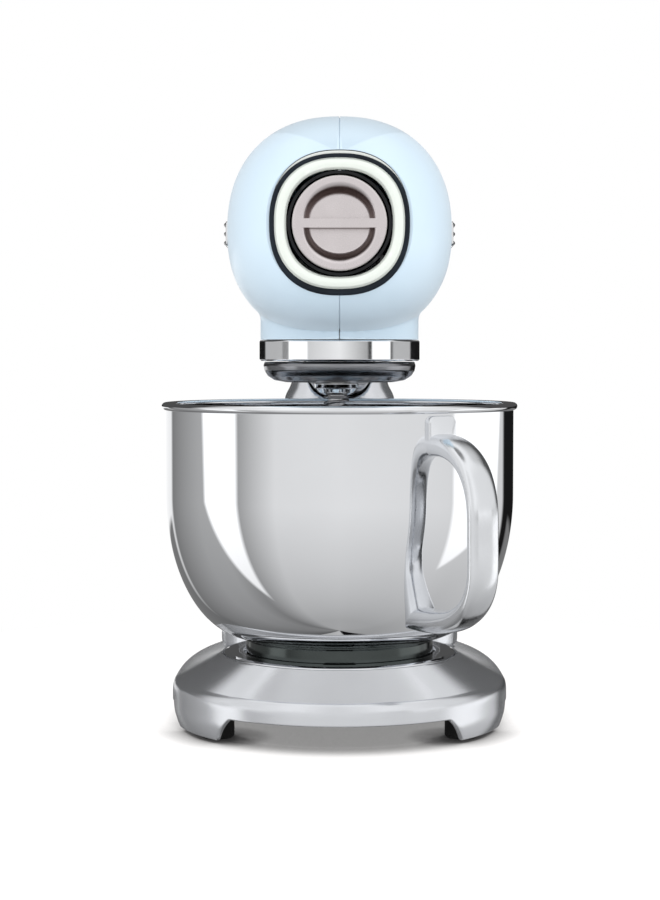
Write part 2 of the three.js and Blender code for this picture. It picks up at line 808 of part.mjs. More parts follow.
// Stand
add("base_casting", "silver", base());
add("column_casting", "silver", column());
add("bottom_plate", "black", bottomPlate());
add("bowl_lock_ring", "steel", lockRing());
const FEET = [
  ["foot_front_left", -75.4, -17],
  ["foot_front_right", 75.4, -17],
  ["foot_rear_left", -56, 192],
  ["foot_rear_right", 56, 192],
];
for (const [name, x, y] of FEET) {
  const foot = lathe(
    [
      [0, 0],
      [9.6, 0],
      [10.4, 1.2],
      [10.4, ARCH_Z + 0.6],
      [0, ARCH_Z + 0.6],
    ],
    16,
  );
  add(name, "rubber", move(foot, x, y, 0));
}
add("hinge_pin", "steel", move(alongX(disc(5, -31.5, 31.5, 16)), 0, HINGE.y, HINGE.z));
for (const [name, side] of [
  ["hinge_cap_left", -1],
  ["hinge_cap_right", 1],
]) {
  const cap = lathe(
    [
      [0, 33.6],
      [9, 33.6],
      [9, 34.8],
      [7.4, 36],
      [0, 36],
    ],
    20,
  );
  add(name, "chrome", move(turn(alongX(cap), 0, 0, side > 0 ? 0 : 180), 0, HINGE.y, HINGE.z));
}
add("tilt_bumper", "rubber", move(disc(5, 206.4, 208.9, 12), 0, 126, 0));
add(
  "cord_gland",
  "black",
  move(alongY(ring(6, 3.4, 238, 249, 16).add(ring(8.4, 3.4, 246.2, 249, 16))), 0, 0, 24),
);

// Release button with its lock pin
add(
  "release_button",
  "chrome",
  move(alongY(disc(BUTTON.radius, 177.5, 194.5, 20).add(disc(4, 156, 178, 16))), 0, 0, BUTTON.z),
);

// Head
add("head_shell_left", "paint", headShell(-1));
add("head_shell_right", "paint", headShell(1));
add("head_frame", "casting", headFrame());
add("hinge_tongue", "silver", tongue());
add("trim_band", "chrome", ring(BAND_RADIUS, 47, ...BAND_HEIGHT, 40));
add("ring_gear", "gear", ringGear());
add("front_bezel", "pale", bezel());
add("bezel_gasket", "rubber", superRing(40.3, 38.2, BEZEL_POWER, -95, -92.3));
add("outlet_housing", "black", outletHousing());
add("side_trim_left", "chrome", sideTrim(-1));
add("side_trim_right", "chrome", sideTrim(1));
const onMotor = (solid, y) => move(alongY(solid), MOTOR.x, y, MOTOR.z);
add("stator_core", "iron", onMotor(statorCore(), 112));
add("field_winding_front", "copper", onMotor(ring(31, 21, 0, 6, 24), 105.5));
add("field_winding_rear", "copper", onMotor(ring(31, 21, 0, 6, 24), 152.5));
for (const [name, side] of [
  ["brush_holder_left", -1],
  ["brush_holder_right", 1],
]) {
  const [near, far] = [11.6, 25].map((x) => x * side).sort((a, b) => a - b);
  add(name, "black", block([near, far], [166, 175], [MOTOR.z - 4, MOTOR.z + 4]));
}
add(
  "planetary_bearing_lower",
  "steel",
  move(bearing(BEARING.outer, HUB_SHAFT + GAP, BEARING.width), 0, 0, DECK[0] - 0.3),
);
add(
  "planetary_bearing_upper",
  "steel",
  move(bearing(BEARING.outer, HUB_SHAFT + GAP, BEARING.width), 0, 0, BRIDGE[0] - 0.4),
);
add(
  "countershaft_bearing",
  "steel",
  move(alongY(bearing(BEARING.outer, 5.35, BEARING.width)), COUNTER.x, -56, COUNTER.z),
);
add("motor_bearing", "steel", onMotor(bearing(10, 4.35, 6), 186));
add("control_board", "board", block([-17, 17], [138, 194], [350, 351.6]));

// Speed lever, and its plate laid over the rear slope of the head's crest
function stadium(halfWidth, halfLength) {
  const straight = halfLength - halfWidth;
  return Array.from({ length: 16 }, (_, i) => {
    const a = (2 * Math.PI * (i + 0.5)) / 16;
    const end = Math.sin(a) > 0 ? straight : -straight;
    return [halfWidth * Math.cos(a), end + halfWidth * Math.sin(a)];
  });
}
function speedPlate() {
  const skin = headSolid(-1.7, NOSE_Y, 32).subtract(headSolid(-GAP, NOSE_Y - 4, 32));
  const slotted = extrude(stadium(11, 31), 60, [stadium(3.6, 24)]);
  return skin.intersect(move(slotted, 0, LEVER.middle, 340));
}
add("speed_plate", "chrome", speedPlate());
const onSlope = (solid) => move(turn(solid, LEVER.tilt, 0, 0), 0, LEVER.middle, LEVER.z);
const knob = move(extrude(superOutline(6.5, 5, 3, 16), 5), 0, 0, 2.7);
const stem = block([-2.4, 2.4], [-3.4, 3.4], [-18, 5]);
add("speed_lever", "chrome", onSlope(move(knob.add(stem), 0, LEVER.travel, 0)));

// Planet carrier
add("planetary_hub", "chrome", planetaryHub());
add("planetary_shaft", "steel", disc(HUB_SHAFT, 222, 303.5, 16));
const bevelRise = (BEVEL_PINION_TEETH * BEVEL_MODULE) / 2; // large end to apex
const BEVEL_SHRINK = 0.7;
const bevelRing = bevelGear(
  BEVEL_TEETH,
  BEVEL_MODULE,
  bevelRise,
  BEVEL_SHRINK,
  HUB_SHAFT + GAP,
  Math.PI / 2,
  false,
);
const bevelHub = ring(17, HUB_SHAFT + GAP, -11, 0.4, 20);
add("bevel_gear", "gear", move(bevelRing.add(bevelHub), 0, 0, HEAD_Z - bevelRise));

// Tool shaft
const pinHole = move(alongX(disc(2.3, -20, 20, 12)), 0, 0, 183);
add("beater_shaft", "steel", onTool(disc(5.2, 175, 247.5, 16).subtract(pinHole)));
add("beater_pin", "steel", onTool(move(alongX(disc(2, -9.5, 9.5, 12)), 0, 0, 183)));
const planet = spurGear(PLANET_TEETH, PLANET_MODULE, 8.2, 5.5, -Math.PI / 2, false);
const rolled = CARRIER_REST * (RING_TEETH / PLANET_TEETH - 1); // keeps it in mesh with the ring
add("planet_gear", "gear", onTool(turn(move(planet, 0, 0, 234.4), 0, 0, rolled)));
add("beater_spring", "steel", onTool(coil(6.9, 0.9, 188, 211.2, 7)));
const collar = lathe(
  [
    [5.6, 211.6],
    [8.2, 211.6],
    [11, 213],
    [13.2, 215.6],
    [13.6, 218.8],
    [5.6, 218.8],
    [5.6, 211.6],
  ],
  28,
);
add("spring_collar", "chrome", onTool(collar));

// Countershaft, layshaft and motor
const towards = (from, to) => Math.atan2(-(to.z - from.z), to.x - from.x);
const onShaft = (axis, solid, y) => move(alongY(solid), axis.x, y, axis.z);
add("countershaft", "steel", onShaft(COUNTER, disc(5, -66, 70, 16), 0));
const square = block([-4.6, 4.6], [-4.6, 4.6], [-1, 13]);
const socket = disc(11, 0, 22, 20).subtract(square).subtract(disc(5.3, 17, 30, 16));
add("accessory_socket", "gear", onShaft(COUNTER, socket, -83.5));
const pinionRise = (BEVEL_TEETH * BEVEL_MODULE) / 2;
const bevelPinion = bevelGear(
  BEVEL_PINION_TEETH,
  BEVEL_MODULE,
  pinionRise,
  BEVEL_SHRINK,
  5.3,
  -Math.PI / 2,
  true,
).add(ring(10.5, 5.3, -12, 0.4, 16));
add("bevel_pinion", "gear", move(turn(bevelPinion, 90, 0, 0), COUNTER.x, pinionRise, COUNTER.z));
const gear2 = spurGear(STAGE_2.gear, STAGE_2.module, 8, 5.3, towards(COUNTER, LAY), false);
add("countershaft_gear", "gear", onShaft(COUNTER, gear2, 60));
const pinion2 = spurGear(STAGE_2.pinion, STAGE_2.module, 11, 0, towards(LAY, COUNTER), true);
const layShaft = disc(4, -14, 28, 16).add(pinion2);
add("layshaft", "steel", onShaft(LAY, layShaft, 58.4));
const gear1 = spurGear(STAGE_1.gear, STAGE_1.module, 7, 4.3, towards(LAY, MOTOR), false);
add("layshaft_gear", "gear", onShaft(LAY, gear1, 72.5));
const pinion1 = spurGear(STAGE_1.pinion, STAGE_1.module, 9, 0, towards(MOTOR, LAY), true);
add("motor_shaft", "steel", onShaft(MOTOR, disc(4, 9, 132, 16).add(pinion1), 71.4));
add("rotor_core", "iron", onMotor(rotorCore(), 112));
add("commutator", "copper", onMotor(ring(11, 4.3, 0, 15, 20), 163));
add("cooling_fan", "black", onMotor(coolingFan(), 94));

// Front outlet cap
add("accessory_cap", "taupe", accessoryCap());

// Bowl
add("bowl", "steel", bowl());
add("bowl_foot_ring", "steel", bowlFootRing());
add("bowl_handle", "chrome", bowlHandle());

export default mixer;
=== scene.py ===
"""A stand mixer's looks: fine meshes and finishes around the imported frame.

Lengths are in millimetres, measured from the bowl's axis (X to the right, the front towards -Y,
Z up from the table). add_piece() turns them into metres in the frame's own place.
"""

import json
import math

import bmesh
import bpy
import numpy as np
from mathutils import Matrix, Vector


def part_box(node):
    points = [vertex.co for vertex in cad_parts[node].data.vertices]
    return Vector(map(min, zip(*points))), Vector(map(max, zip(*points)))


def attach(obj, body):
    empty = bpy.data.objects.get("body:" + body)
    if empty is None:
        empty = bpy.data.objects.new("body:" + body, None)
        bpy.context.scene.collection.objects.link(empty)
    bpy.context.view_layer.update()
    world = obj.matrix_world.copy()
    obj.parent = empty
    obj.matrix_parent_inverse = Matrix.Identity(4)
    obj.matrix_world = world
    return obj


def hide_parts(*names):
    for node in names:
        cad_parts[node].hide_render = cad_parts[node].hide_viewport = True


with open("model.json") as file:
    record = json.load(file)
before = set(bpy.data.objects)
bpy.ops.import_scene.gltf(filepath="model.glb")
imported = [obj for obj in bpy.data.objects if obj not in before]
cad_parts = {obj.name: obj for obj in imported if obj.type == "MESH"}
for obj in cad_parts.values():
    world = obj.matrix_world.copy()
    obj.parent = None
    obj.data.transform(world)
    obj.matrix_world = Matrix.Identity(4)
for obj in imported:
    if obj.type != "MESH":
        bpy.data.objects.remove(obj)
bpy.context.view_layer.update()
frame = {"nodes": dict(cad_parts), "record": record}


RECORD = frame["record"]
BODY_OF = {node: body for body, nodes in RECORD["behaviour"]["bodies"].items() for node in nodes}

# ---------------------------------------------------------------- driving dimensions
MM = 0.001
AXIS_Y = (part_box("bowl")[0].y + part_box("bowl")[1].y) / 2 / MM  # the bowl's axis in the frame

HEAD_Z = 311
HEAD_HALF_WIDTH = 69
HEAD_UP = 70
HEAD_DOWN = 65.5
SECTION_POWER = 2.28
NOSE_Y = -92
NOSE_LENGTH = 107
NOSE_POWER = 2.4
TAIL_START = 60
TAIL_Y = 262.08
TAIL_POWER = 2.5
WALL = 3
NECK_RADIUS = 49
NECK_BOTTOM = 245.4
NECK_BLEND = 3
SEAM_HALF = 0.27

BEZEL_POWER = 2.35
CAP_RADIUS = 27.3
CAP_FACE = -98
CAP_EDGE = 1.2  # radius of the edge around its face
CAP_BACK = 13  # how far back the cap reaches from its face
BAR_HALF = 2.6  # half the width of its grip bar
BAR_SLOPE = 0.6
WELL_EDGE = (21, 20.8)  # a finger well's half width, and its height from the bar
WELL_FLOOR = (16.9, 14)
WELL_DEPTH = 7

TOOL_OFFSET = 21
TOOL_ANGLE = math.radians(-95)  # the tool shaft stands a little left of the front
TOOL_X = TOOL_OFFSET * math.cos(TOOL_ANGLE)
TOOL_Y = TOOL_OFFSET * math.sin(TOOL_ANGLE)

HINGE_Y = 168
HINGE_Z = 236
TONGUE_HALF = 23

BOWL_RADIUS = 108
BOWL_WALL = 1.2
RIM_Z = 204.4
RIM_ROLL = 2.32
BOWL_FLOOR = 61.5
HANDLE_TURN = -57.5  # degrees about Z, from +X

BASE_RADIUS = 107
BASE_CENTRE = 33
BASE_REAR = 212
BASE_POWER = 2.5
SKIRT_Z = 2
ARCH_Z = 16.5
SKIRT_TOP = 22.5  # from here the skirt rounds over to the crease
CREASE_Z = 30.5
DECK_Z = 50.4
RING_SEAT = 74

COLUMN_FOOT = 45
EAR_RADIUS = 14.6  # of the column's two ears about the hinge
BUTTON_Z = 206  # the release button's axis
SHOULDER = 4  # how far the column steps out under the hinge, between these two heights
SHOULDER_LOW = 206
SHOULDER_HIGH = 218

LEVER_Y = 164
LEVER_Z = 375.4
LEVER_TILT = -8.4
LEVER_TRAVEL = 18

FINE = 192  # sides of a large round piece
SMALL = 64  # sides of a small one


# ---------------------------------------------------------------- mesh code
# A part is (points, faces): an array of millimetre positions, and lists of point numbers.
def join(*parts):
    points, faces, first = [], [], 0
    for part_points, part_faces in parts:
        points.append(part_points)
        faces += [[first + i for i in face] for face in part_faces]
        first += len(part_points)
    return np.concatenate(points), faces


def moved(part, x=0.0, y=0.0, z=0.0):
    return part[0] + np.array([x, y, z], float), part[1]


def turned(part, axis, degrees):
    matrix = np.array(Matrix.Rotation(math.radians(degrees), 3, axis))
    return part[0] @ matrix.T, part[1]


def along_y(part):
    """A part made about Z, laid so that its axis points along +Y."""
    return turned(part, "X", -90)


def along_x(part):
    return turned(part, "Y", 90)


def loft(rings, wrap=False):
    """Quads between rings of equal length. The ends are closed unless the last meets the first."""
    rings = np.asarray(rings, float)
    rows, sides = rings.shape[:2]
    faces = []
    for i in range(rows if wrap else rows - 1):
        a, b = i * sides, ((i + 1) % rows) * sides
        faces += [[a + j, a + (j + 1) % sides, b + (j + 1) % sides, b + j] for j in range(sides)]
    if not wrap:
        for end in (0, rows - 1):
            if np.ptp(rings[end], axis=0).max() > 1e-6:
                faces.append(list(range(end * sides, (end + 1) * sides)))
    return rings.reshape(-1, 3), faces


def fillet(points, radius=0.4, closed=True, steps=5):
    """A 2-D outline with its corners rounded. A point's third number is its own radius."""
    rounded = []
    count = len(points)
    for i, point in enumerate(points):
        here = np.array(point[:2], float)
        size = point[2] if len(point) > 2 else radius
        before = np.array(points[i - 1][:2], float) - here
        after = np.array(points[(i + 1) % count][:2], float) - here
        reach_before, reach_after = np.linalg.norm(before), np.linalg.norm(after)
        at_end = not closed and i in (0, count - 1)
        if at_end or size <= 0 or min(reach_before, reach_after) < 1e-6:
            rounded.append(here)
            continue
        before, after = before / reach_before, after / reach_after
        half = math.acos(max(-1.0, min(1.0, float(before @ after)))) / 2
        sweep = math.pi - 2 * half
        if sweep < 0.03:
            rounded.append(here)
            continue
        reach = min(size / math.tan(half), 0.48 * reach_before, 0.48 * reach_after)
        size = reach * math.tan(half)
        middle = (before + after) / np.linalg.norm(before + after)
        centre = here + middle * size / math.sin(half)
        start, finish = here + before * reach - centre, here + after * reach - centre
        for k in range(steps + 1):
            s = k / steps
            arc = math.sin((1 - s) * sweep) * start + math.sin(s * sweep) * finish
            rounded.append(centre + arc / math.sin(sweep))
    return held(rounded, closed)


def held(points, closed, margin=0.15):
    """The outline with a point near each end of every long straight side, so that it shades flat."""
    outline = []
    for i, here in enumerate(points):
        outline.append(here)
        if i == len(points) - 1 and not closed:
            break
        side = points[(i + 1) % len(points)] - here
        length = np.linalg.norm(side)
        if length > 1:
            outline += [here + side * (margin / length), here + side * (1 - margin / length)]
    return np.array(outline)


def smooth_line(points, count):
    """A Catmull-Rom line through the points, resampled at even distances."""
    points = np.asarray(points, float)
    padded = np.vstack([2 * points[0] - points[1], points, 2 * points[-1] - points[-2]])
    fine = []
    for i in range(len(points) - 1):
        p0, p1, p2, p3 = padded[i : i + 4]
        d1, d2, d3 = (max(1e-6, np.linalg.norm(b - a)) ** 0.5 for a, b in ((p0, p1), (p1, p2), (p2, p3)))
        m1 = (p1 - p0) / d1 - (p2 - p0) / (d1 + d2) + (p2 - p1) / d2
        m2 = (p2 - p1) / d2 - (p3 - p1) / (d2 + d3) + (p3 - p2) / d3
        for t in np.linspace(0, 1, 24, endpoint=False):
            h = (2 * t**3 - 3 * t**2 + 1, t**3 - 2 * t**2 + t, 3 * t**2 - 2 * t**3, t**3 - t**2)
            fine.append(h[0] * p1 + h[1] * m1 * d2 + h[2] * p2 + h[3] * m2 * d2)
    fine = np.array(fine + [points[-1]])
    reached = np.concatenate([[0], np.cumsum(np.linalg.norm(np.diff(fine, axis=0), axis=1))])
    wanted = np.linspace(0, reached[-1], count)
    return np.stack([np.interp(wanted, reached, fine[:, k]) for k in range(fine.shape[1])], axis=1)


def lathe(profile, sides=FINE):
    """A profile of (radius, height) turned about Z. It starts and ends on the axis, or is closed."""
    profile = np.asarray(profile, float)
    turn = np.linspace(0, 2 * math.pi, sides, endpoint=False)
    rings = [np.stack([r * np.cos(turn), r * np.sin(turn), np.full(sides, z)], axis=1) for r, z in profile]
    on_axis = abs(profile[0][0]) < 1e-6 and abs(profile[-1][0]) < 1e-6
    return loft(rings, wrap=not on_axis)


def round_part(points, radius=0.4, sides=SMALL, steps=5):
    """A lathe of a few corners, each of them rounded."""
    on_axis = points[0][0] == 0 and points[-1][0] == 0
    return lathe(fillet(points, radius, closed=not on_axis, steps=steps), sides)


def arc_part(profile, start, end, steps=40):
    """A closed profile turned through part of a circle, in degrees."""
    rings = []
    for a in np.radians(np.linspace(start, end, steps)):
        rings.append([[r * math.cos(a), r * math.sin(a), z] for r, z in profile])
    return loft(rings)


def super_radius(angle, a, b, power):
    """A superellipse's reach from its middle at an angle."""
    cosine, sine = np.abs(np.cos(angle)), np.abs(np.sin(angle))
    return ((cosine / a) ** power + (sine / b) ** power) ** (-1 / power)


def super_outline(a, b, power, sides):
    angle = np.linspace(0, 2 * math.pi, sides, endpoint=False)
    r = super_radius(angle, a, b, power)
    return np.stack([r * np.cos(angle), r * np.sin(angle)], axis=1)


def prism(outline, low, high):
    """A 2-D outline as a solid between two heights."""
    return loft([[[x, y, z] for x, y in outline] for z in (low, high)])


def side_prism(outline, half_width):
    """An outline of (y, z) as a solid that reaches half_width each way along X."""
    return loft([[[x, y, z] for y, z in outline] for x in (-half_width, half_width)])


def block(x, y, z):
    corners = [(x[0], y[0]), (x[1], y[0]), (x[1], y[1]), (x[0], y[1])]
    return prism(corners, z[0], z[1])


def mesh_of(name, part):
    points, faces = part
    placed = (points + [0, AXIS_Y, 0]) * MM
    mesh = bpy.data.meshes.new(name)
    mesh.from_pydata(placed.tolist(), [], faces)
    work = bmesh.new()
    work.from_mesh(mesh)
    bmesh.ops.remove_doubles(work, verts=work.verts, dist=2e-6)
    bmesh.ops.recalc_face_normals(work, faces=work.faces)
    work.to_mesh(mesh)
    work.free()
    return mesh


def add_object(name, mesh):
    made = bpy.data.objects.new(name, mesh)
    bpy.context.scene.collection.objects.link(made)
    return made


def add_piece(node, part, look, sharp=32, name=None):
    """A fine piece that stands for one CAD node, on that node's body, with the node hidden."""
    mesh = mesh_of(name or "fine_" + node, part) if isinstance(part, tuple) else part
    mesh.shade_smooth()
    mesh.set_sharp_from_angle(angle=math.radians(sharp))
    mesh.materials.clear()
    mesh.materials.append(look)
    piece = add_object(mesh.name, mesh)
    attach(piece, BODY_OF[node])
    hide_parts(node)
    return piece


def cast(name, part, cutters, voxel, rounds, kept=None):
    """The part without its cutters (and inside `kept`), its edges softened as a casting's are."""
    body = add_object(name, mesh_of(name, part))
    helpers = []
    steps = [("DIFFERENCE", cutter) for cutter in cutters]
    if kept:
        steps.append(("INTERSECT", kept))
    for operation, other in steps:
        helper = add_object(name + "_cut", mesh_of(name + "_cut", other))
        helpers.append(helper)
        modifier = body.modifiers.new("cut", "BOOLEAN")
        modifier.operation = operation
        modifier.solver = "EXACT"
        modifier.object = helper
    remesh = body.modifiers.new("remesh", "REMESH")
    remesh.mode = "VOXEL"
    remesh.voxel_size = voxel * MM
    soften = body.modifiers.new("soften", "SMOOTH")
    soften.factor = 0.5
    soften.iterations = rounds
    bpy.context.view_layer.update()
    done = body.evaluated_get(bpy.context.evaluated_depsgraph_get())
    mesh = bpy.data.meshes.new_from_object(done)
    for helper in helpers + [body]:
        bpy.data.meshes.remove(helper.data)
    mesh.name = name
    return mesh


# ---------------------------------------------------------------- materials
def new_material(name):
    material = bpy.data.materials.new(name)
    material.use_nodes = True
    return material, material.node_tree, material.node_tree.nodes["Principled BSDF"]


def noise(tree, place, scale, detail=3.0, stretch=(1, 1, 1)):
    """Noise over the object's own space, in features per metre."""
    mapping = tree.nodes.new("ShaderNodeMapping")
    mapping.inputs["Scale"].default_value = stretch
    texture = tree.nodes.new("ShaderNodeTexNoise")
    texture.inputs["Scale"].default_value = scale
    texture.inputs["Detail"].default_value = detail
    tree.links.new(place, mapping.inputs["Vector"])
    tree.links.new(mapping.outputs["Vector"], texture.inputs["Vector"])
    return texture.outputs["Fac"]


def remap(tree, value, low, high, to_low, to_high):
    node = tree.nodes.new("ShaderNodeMapRange")
    for socket, number in zip(("From Min", "From Max", "To Min", "To Max"), (low, high, to_low, to_high)):
        node.inputs[socket].default_value = number
    tree.links.new(value, node.inputs["Value"])
    return node.outputs["Result"]


def mix_colour(tree, factor, a, b):
    node = tree.nodes.new("ShaderNodeMix")
    node.data_type = "RGBA"
    tree.links.new(factor, node.inputs["Factor"])
    for socket, colour in ((node.inputs["A"], a), (node.inputs["B"], b)):
        if isinstance(colour, bpy.types.NodeSocket):
            tree.links.new(colour, socket)
        else:
            socket.default_value = (*colour, 1)
    return node.outputs["Result"]


def calculate(tree, operation, *values):
    node = tree.nodes.new("ShaderNodeMath")
    node.operation = operation
    for socket, value in zip(node.inputs, values):
        if isinstance(value, bpy.types.NodeSocket):
            tree.links.new(value, socket)
        else:
            socket.default_value = value
    return node.outputs[0]


def scaled(colour, share):
    return tuple(min(1.0, c * share) for c in colour)


def scaled_socket(tree, colour, share):
    """A colour made brighter or darker by a socket's value."""
    node = tree.nodes.new("ShaderNodeVectorMath")
    node.operation = "SCALE"
    tree.links.new(colour, node.inputs[0])
    tree.links.new(share, node.inputs["Scale"])
    return node.outputs["Vector"]


def finish(
    name,
    colour,
    roughness,
    metallic=0.0,
    shade=0.03,
    patch=25,
    grain=700,
    relief=0.02,
    spread=0.03,
    stretch=(1, 1, 1),
    worn=None,
    sockets=(),
    shape=None,
):
    """A finish with patches of slightly different colour, a fine grain in its roughness and
    relief (mm deep), and edges that are worn to another colour. shape() may paint shade onto a part of it."""
    material, tree, shader = new_material(name)
    place = tree.nodes.new("ShaderNodeTexCoord").outputs["Object"]
    patches = remap(tree, noise(tree, place, patch), 0.35, 0.65, 0, 1)
    fine = noise(tree, place, grain, 2.0, stretch)
    base = mix_colour(tree, patches, scaled(colour, 1 - shade), scaled(colour, 1 + shade))
    if worn:
        edge = tree.nodes.new("ShaderNodeNewGeometry").outputs["Pointiness"]
        edge = remap(tree, edge, 0.53, 0.62, 0, 0.6)
        base = mix_colour(tree, edge, base, worn)
    if shape:
        base = shape(tree, place, base)
    tree.links.new(base, shader.inputs["Base Color"])
    rough = remap(tree, fine, 0.3, 0.7, max(0.01, roughness - spread), roughness + spread)
    tree.links.new(rough, shader.inputs["Roughness"])
    bump = tree.nodes.new("ShaderNodeBump")
    bump.inputs["Strength"].default_value = 0.6
    bump.inputs["Distance"].default_value = relief * MM
    tree.links.new(fine, bump.inputs["Height"])
    tree.links.new(bump.outputs["Normal"], shader.inputs["Normal"])
    shader.inputs["Metallic"].default_value = metallic
    for socket, number in sockets:
        shader.inputs[socket].default_value = number
    return material


def painted_well_shade(tree, place, colour):
    """Painted shade: the steep walls of the cap's two finger wells are darkened to a brown, where shade
    falls inside the wells.
    """
    split = tree.nodes.new("ShaderNodeSeparateXYZ")
    tree.links.new(place, split.inputs[0])
    x, y, z = split.outputs
    off_axis = calculate(tree, "POWER", calculate(tree, "SUBTRACT", z, HEAD_Z * MM), 2.0)
    reach = calculate(tree, "SQRT", calculate(tree, "ADD", calculate(tree, "POWER", x, 2.0), off_axis))
    inside = remap(tree, reach, WELL_EDGE[0] * MM, (WELL_EDGE[0] + 1) * MM, 1, 0)
    depth = calculate(tree, "SUBTRACT", y, (AXIS_Y + CAP_FACE) * MM)
    past_face = remap(tree, depth, 0.3 * MM, 2 * MM, 0, 1)
    above_floor = remap(tree, depth, (WELL_DEPTH - 1.4) * MM, (WELL_DEPTH - 0.1) * MM, 1, 0)
    sunk = calculate(tree, "MULTIPLY", past_face, above_floor)
    # the colour of the painted shade on the well walls
    return mix_colour(tree, calculate(tree, "MULTIPLY", inside, sunk), colour, (0.17, 0.13, 0.12))


RINGS = (1, 1, 30)  # a grain drawn out around an upright axis, as turning leaves it
ROUND_Y = (1, 30, 1)
COAT = (("Coat Weight", 0.12), ("Coat Roughness", 0.15), ("Sheen Weight", 0.3), ("Sheen Roughness", 0.4),
        ("Specular IOR Level", 0.3))
ENAMEL = (("Coat Weight", 0.5), ("Coat Roughness", 0.05))
MATT = (("Specular IOR Level", 0.12),)

PAINT = finish(
    "light_blue_paint", (0.515, 0.635, 0.73), roughness=0.36, shade=0.012, patch=18,
    grain=900, relief=0.004, spread=0.03, worn=(0.80, 0.90, 0.97), sockets=COAT)
SILVER = finish(
    "satin_silver", (0.70, 0.715, 0.745), roughness=0.24, metallic=0.92, shade=0.02, patch=30,
    grain=2200, relief=0.0015, spread=0.02, worn=(0.80, 0.81, 0.83))
STEEL = finish(
    "polished_steel", (0.83, 0.84, 0.86), roughness=0.03, metallic=1, shade=0.012, patch=20, grain=500,
    relief=0.0003, spread=0.01, stretch=RINGS)
# Painted shade: the bowl's steel foot ring is darkened nearly to black, standing in for the shade under
# the bowl.
FOOT_STEEL_WITH_PAINTED_SHADE = finish(
    "foot_steel_painted_shade", (0.07, 0.08, 0.078), roughness=0.16, metallic=1, shade=0.05, patch=60, grain=900,
    relief=0.001, spread=0.03, stretch=RINGS)
CHROME = finish(
    "bright_chrome", (0.86, 0.87, 0.885), roughness=0.06, metallic=1, shade=0.012, patch=40, grain=900,
    relief=0.001, spread=0.02)
HANDLE = finish(
    "polished_casting", (0.77, 0.785, 0.81), roughness=0.2, metallic=1, shade=0.015, patch=30,
    grain=600, relief=0.004, spread=0.03)
GUNMETAL = finish(
    "dark_chrome", (0.27, 0.275, 0.29), roughness=0.18, metallic=1, shade=0.03, patch=40, grain=900,
    relief=0.002, spread=0.04, stretch=RINGS)
BEZEL = finish(
    "pale_enamel", (0.64, 0.68, 0.635), roughness=0.22, shade=0.012, patch=60, grain=1500,
    relief=0.003, spread=0.04, worn=(0.72, 0.74, 0.72), sockets=ENAMEL)
# The cap's taupe metal, with painted shade on the walls of its finger wells.
TAUPE = finish(
    "taupe_metal", (0.72, 0.67, 0.675), roughness=0.3, metallic=1, shade=0.02, patch=90, grain=3000,
    relief=0.006, spread=0.05, worn=(0.84, 0.80, 0.80), shape=painted_well_shade)
GASKET = finish(
    "black_gasket", (0.010, 0.014, 0.020), roughness=0.38, shade=0.2, patch=60, grain=1500,
    relief=0.01, spread=0.06, sockets=MATT)
BLACK = finish(
    "black_moulding", (0.012, 0.013, 0.014), roughness=0.5, shade=0.2, patch=80, grain=2600,
    relief=0.02, spread=0.06, worn=(0.04, 0.04, 0.042), sockets=MATT)
RUBBER = finish(
    "black_rubber", (0.016, 0.016, 0.016), roughness=0.82, shade=0.25, patch=120,
    grain=2600, relief=0.03, spread=0.06, worn=(0.04, 0.04, 0.04), sockets=MATT)
DARK_STEEL = finish(
    "black_spring_steel", (0.30, 0.30, 0.31), roughness=0.24, metallic=1, shade=0.08, patch=200,
    grain=3000, relief=0.004, spread=0.06)
SHAFT = finish(
    "ground_steel", (0.62, 0.62, 0.63), roughness=0.2, metallic=1, shade=0.04, patch=80, grain=1800,
    relief=0.003, spread=0.05, stretch=RINGS)
GEAR = finish(
    "gear_steel", (0.42, 0.43, 0.45), roughness=0.36, metallic=1, shade=0.06, patch=120, grain=2000,
    relief=0.01, spread=0.08, worn=(0.7, 0.7, 0.72))
CASTING = finish(
    "raw_casting", (0.50, 0.51, 0.52), roughness=0.56, metallic=0.9, shade=0.08, patch=90, grain=1400,
    relief=0.06, spread=0.08, worn=(0.66, 0.67, 0.68))
IRON = finish(
    "laminated_iron", (0.22, 0.22, 0.235), roughness=0.48, metallic=0.8, shade=0.08, patch=60,
    grain=900, relief=0.03, spread=0.06, stretch=ROUND_Y)
COPPER = finish(
    "enamelled_copper", (0.56, 0.22, 0.09), roughness=0.3, metallic=0.9, shade=0.12, patch=150,
    grain=1200, relief=0.06, spread=0.08, stretch=ROUND_Y)
FIBRE = finish(
    "fibre_gear", (0.42, 0.27, 0.13), roughness=0.6, shade=0.12, patch=300, grain=2400,
    relief=0.02, spread=0.08)
BOARD = finish(
    "circuit_board", (0.02, 0.13, 0.06), roughness=0.45, shade=0.15, patch=200, grain=1600,
    relief=0.01, spread=0.08)

CARRIED = {
    BLACK: ("bottom_plate", "brush_holder_left", "brush_holder_right", "cooling_fan"),
    SHAFT: ("hinge_pin", "planetary_shaft", "countershaft", "layshaft", "motor_shaft",
            "planetary_bearing_lower", "planetary_bearing_upper", "countershaft_bearing",
            "motor_bearing", "accessory_socket"),
    GEAR: ("ring_gear", "planet_gear", "bevel_gear", "bevel_pinion", "countershaft_gear"),
    CASTING: ("head_frame",),
    IRON: ("stator_core", "rotor_core"),
    COPPER: ("field_winding_front", "field_winding_rear", "commutator"),
    FIBRE: ("layshaft_gear",),
    BOARD: ("control_board",),
}
for look, nodes in CARRIED.items():
    for node in nodes:
        mesh = frame["nodes"][node].data
        mesh.materials.clear()
        mesh.materials.append(look)


# ---------------------------------------------------------------- head
def head_scale(y):
    """The head's section at a place along it, as a share of its full size."""
    if y < 0:
        return (1 - min(1, -y / NOSE_LENGTH) ** NOSE_POWER) ** (1 / NOSE_POWER)
    if y < TAIL_START:
        return 1.0
    t = min(1, (y - TAIL_START) / (TAIL_Y - TAIL_START))
    return (1 - t**TAIL_POWER) ** (1 / TAIL_POWER)


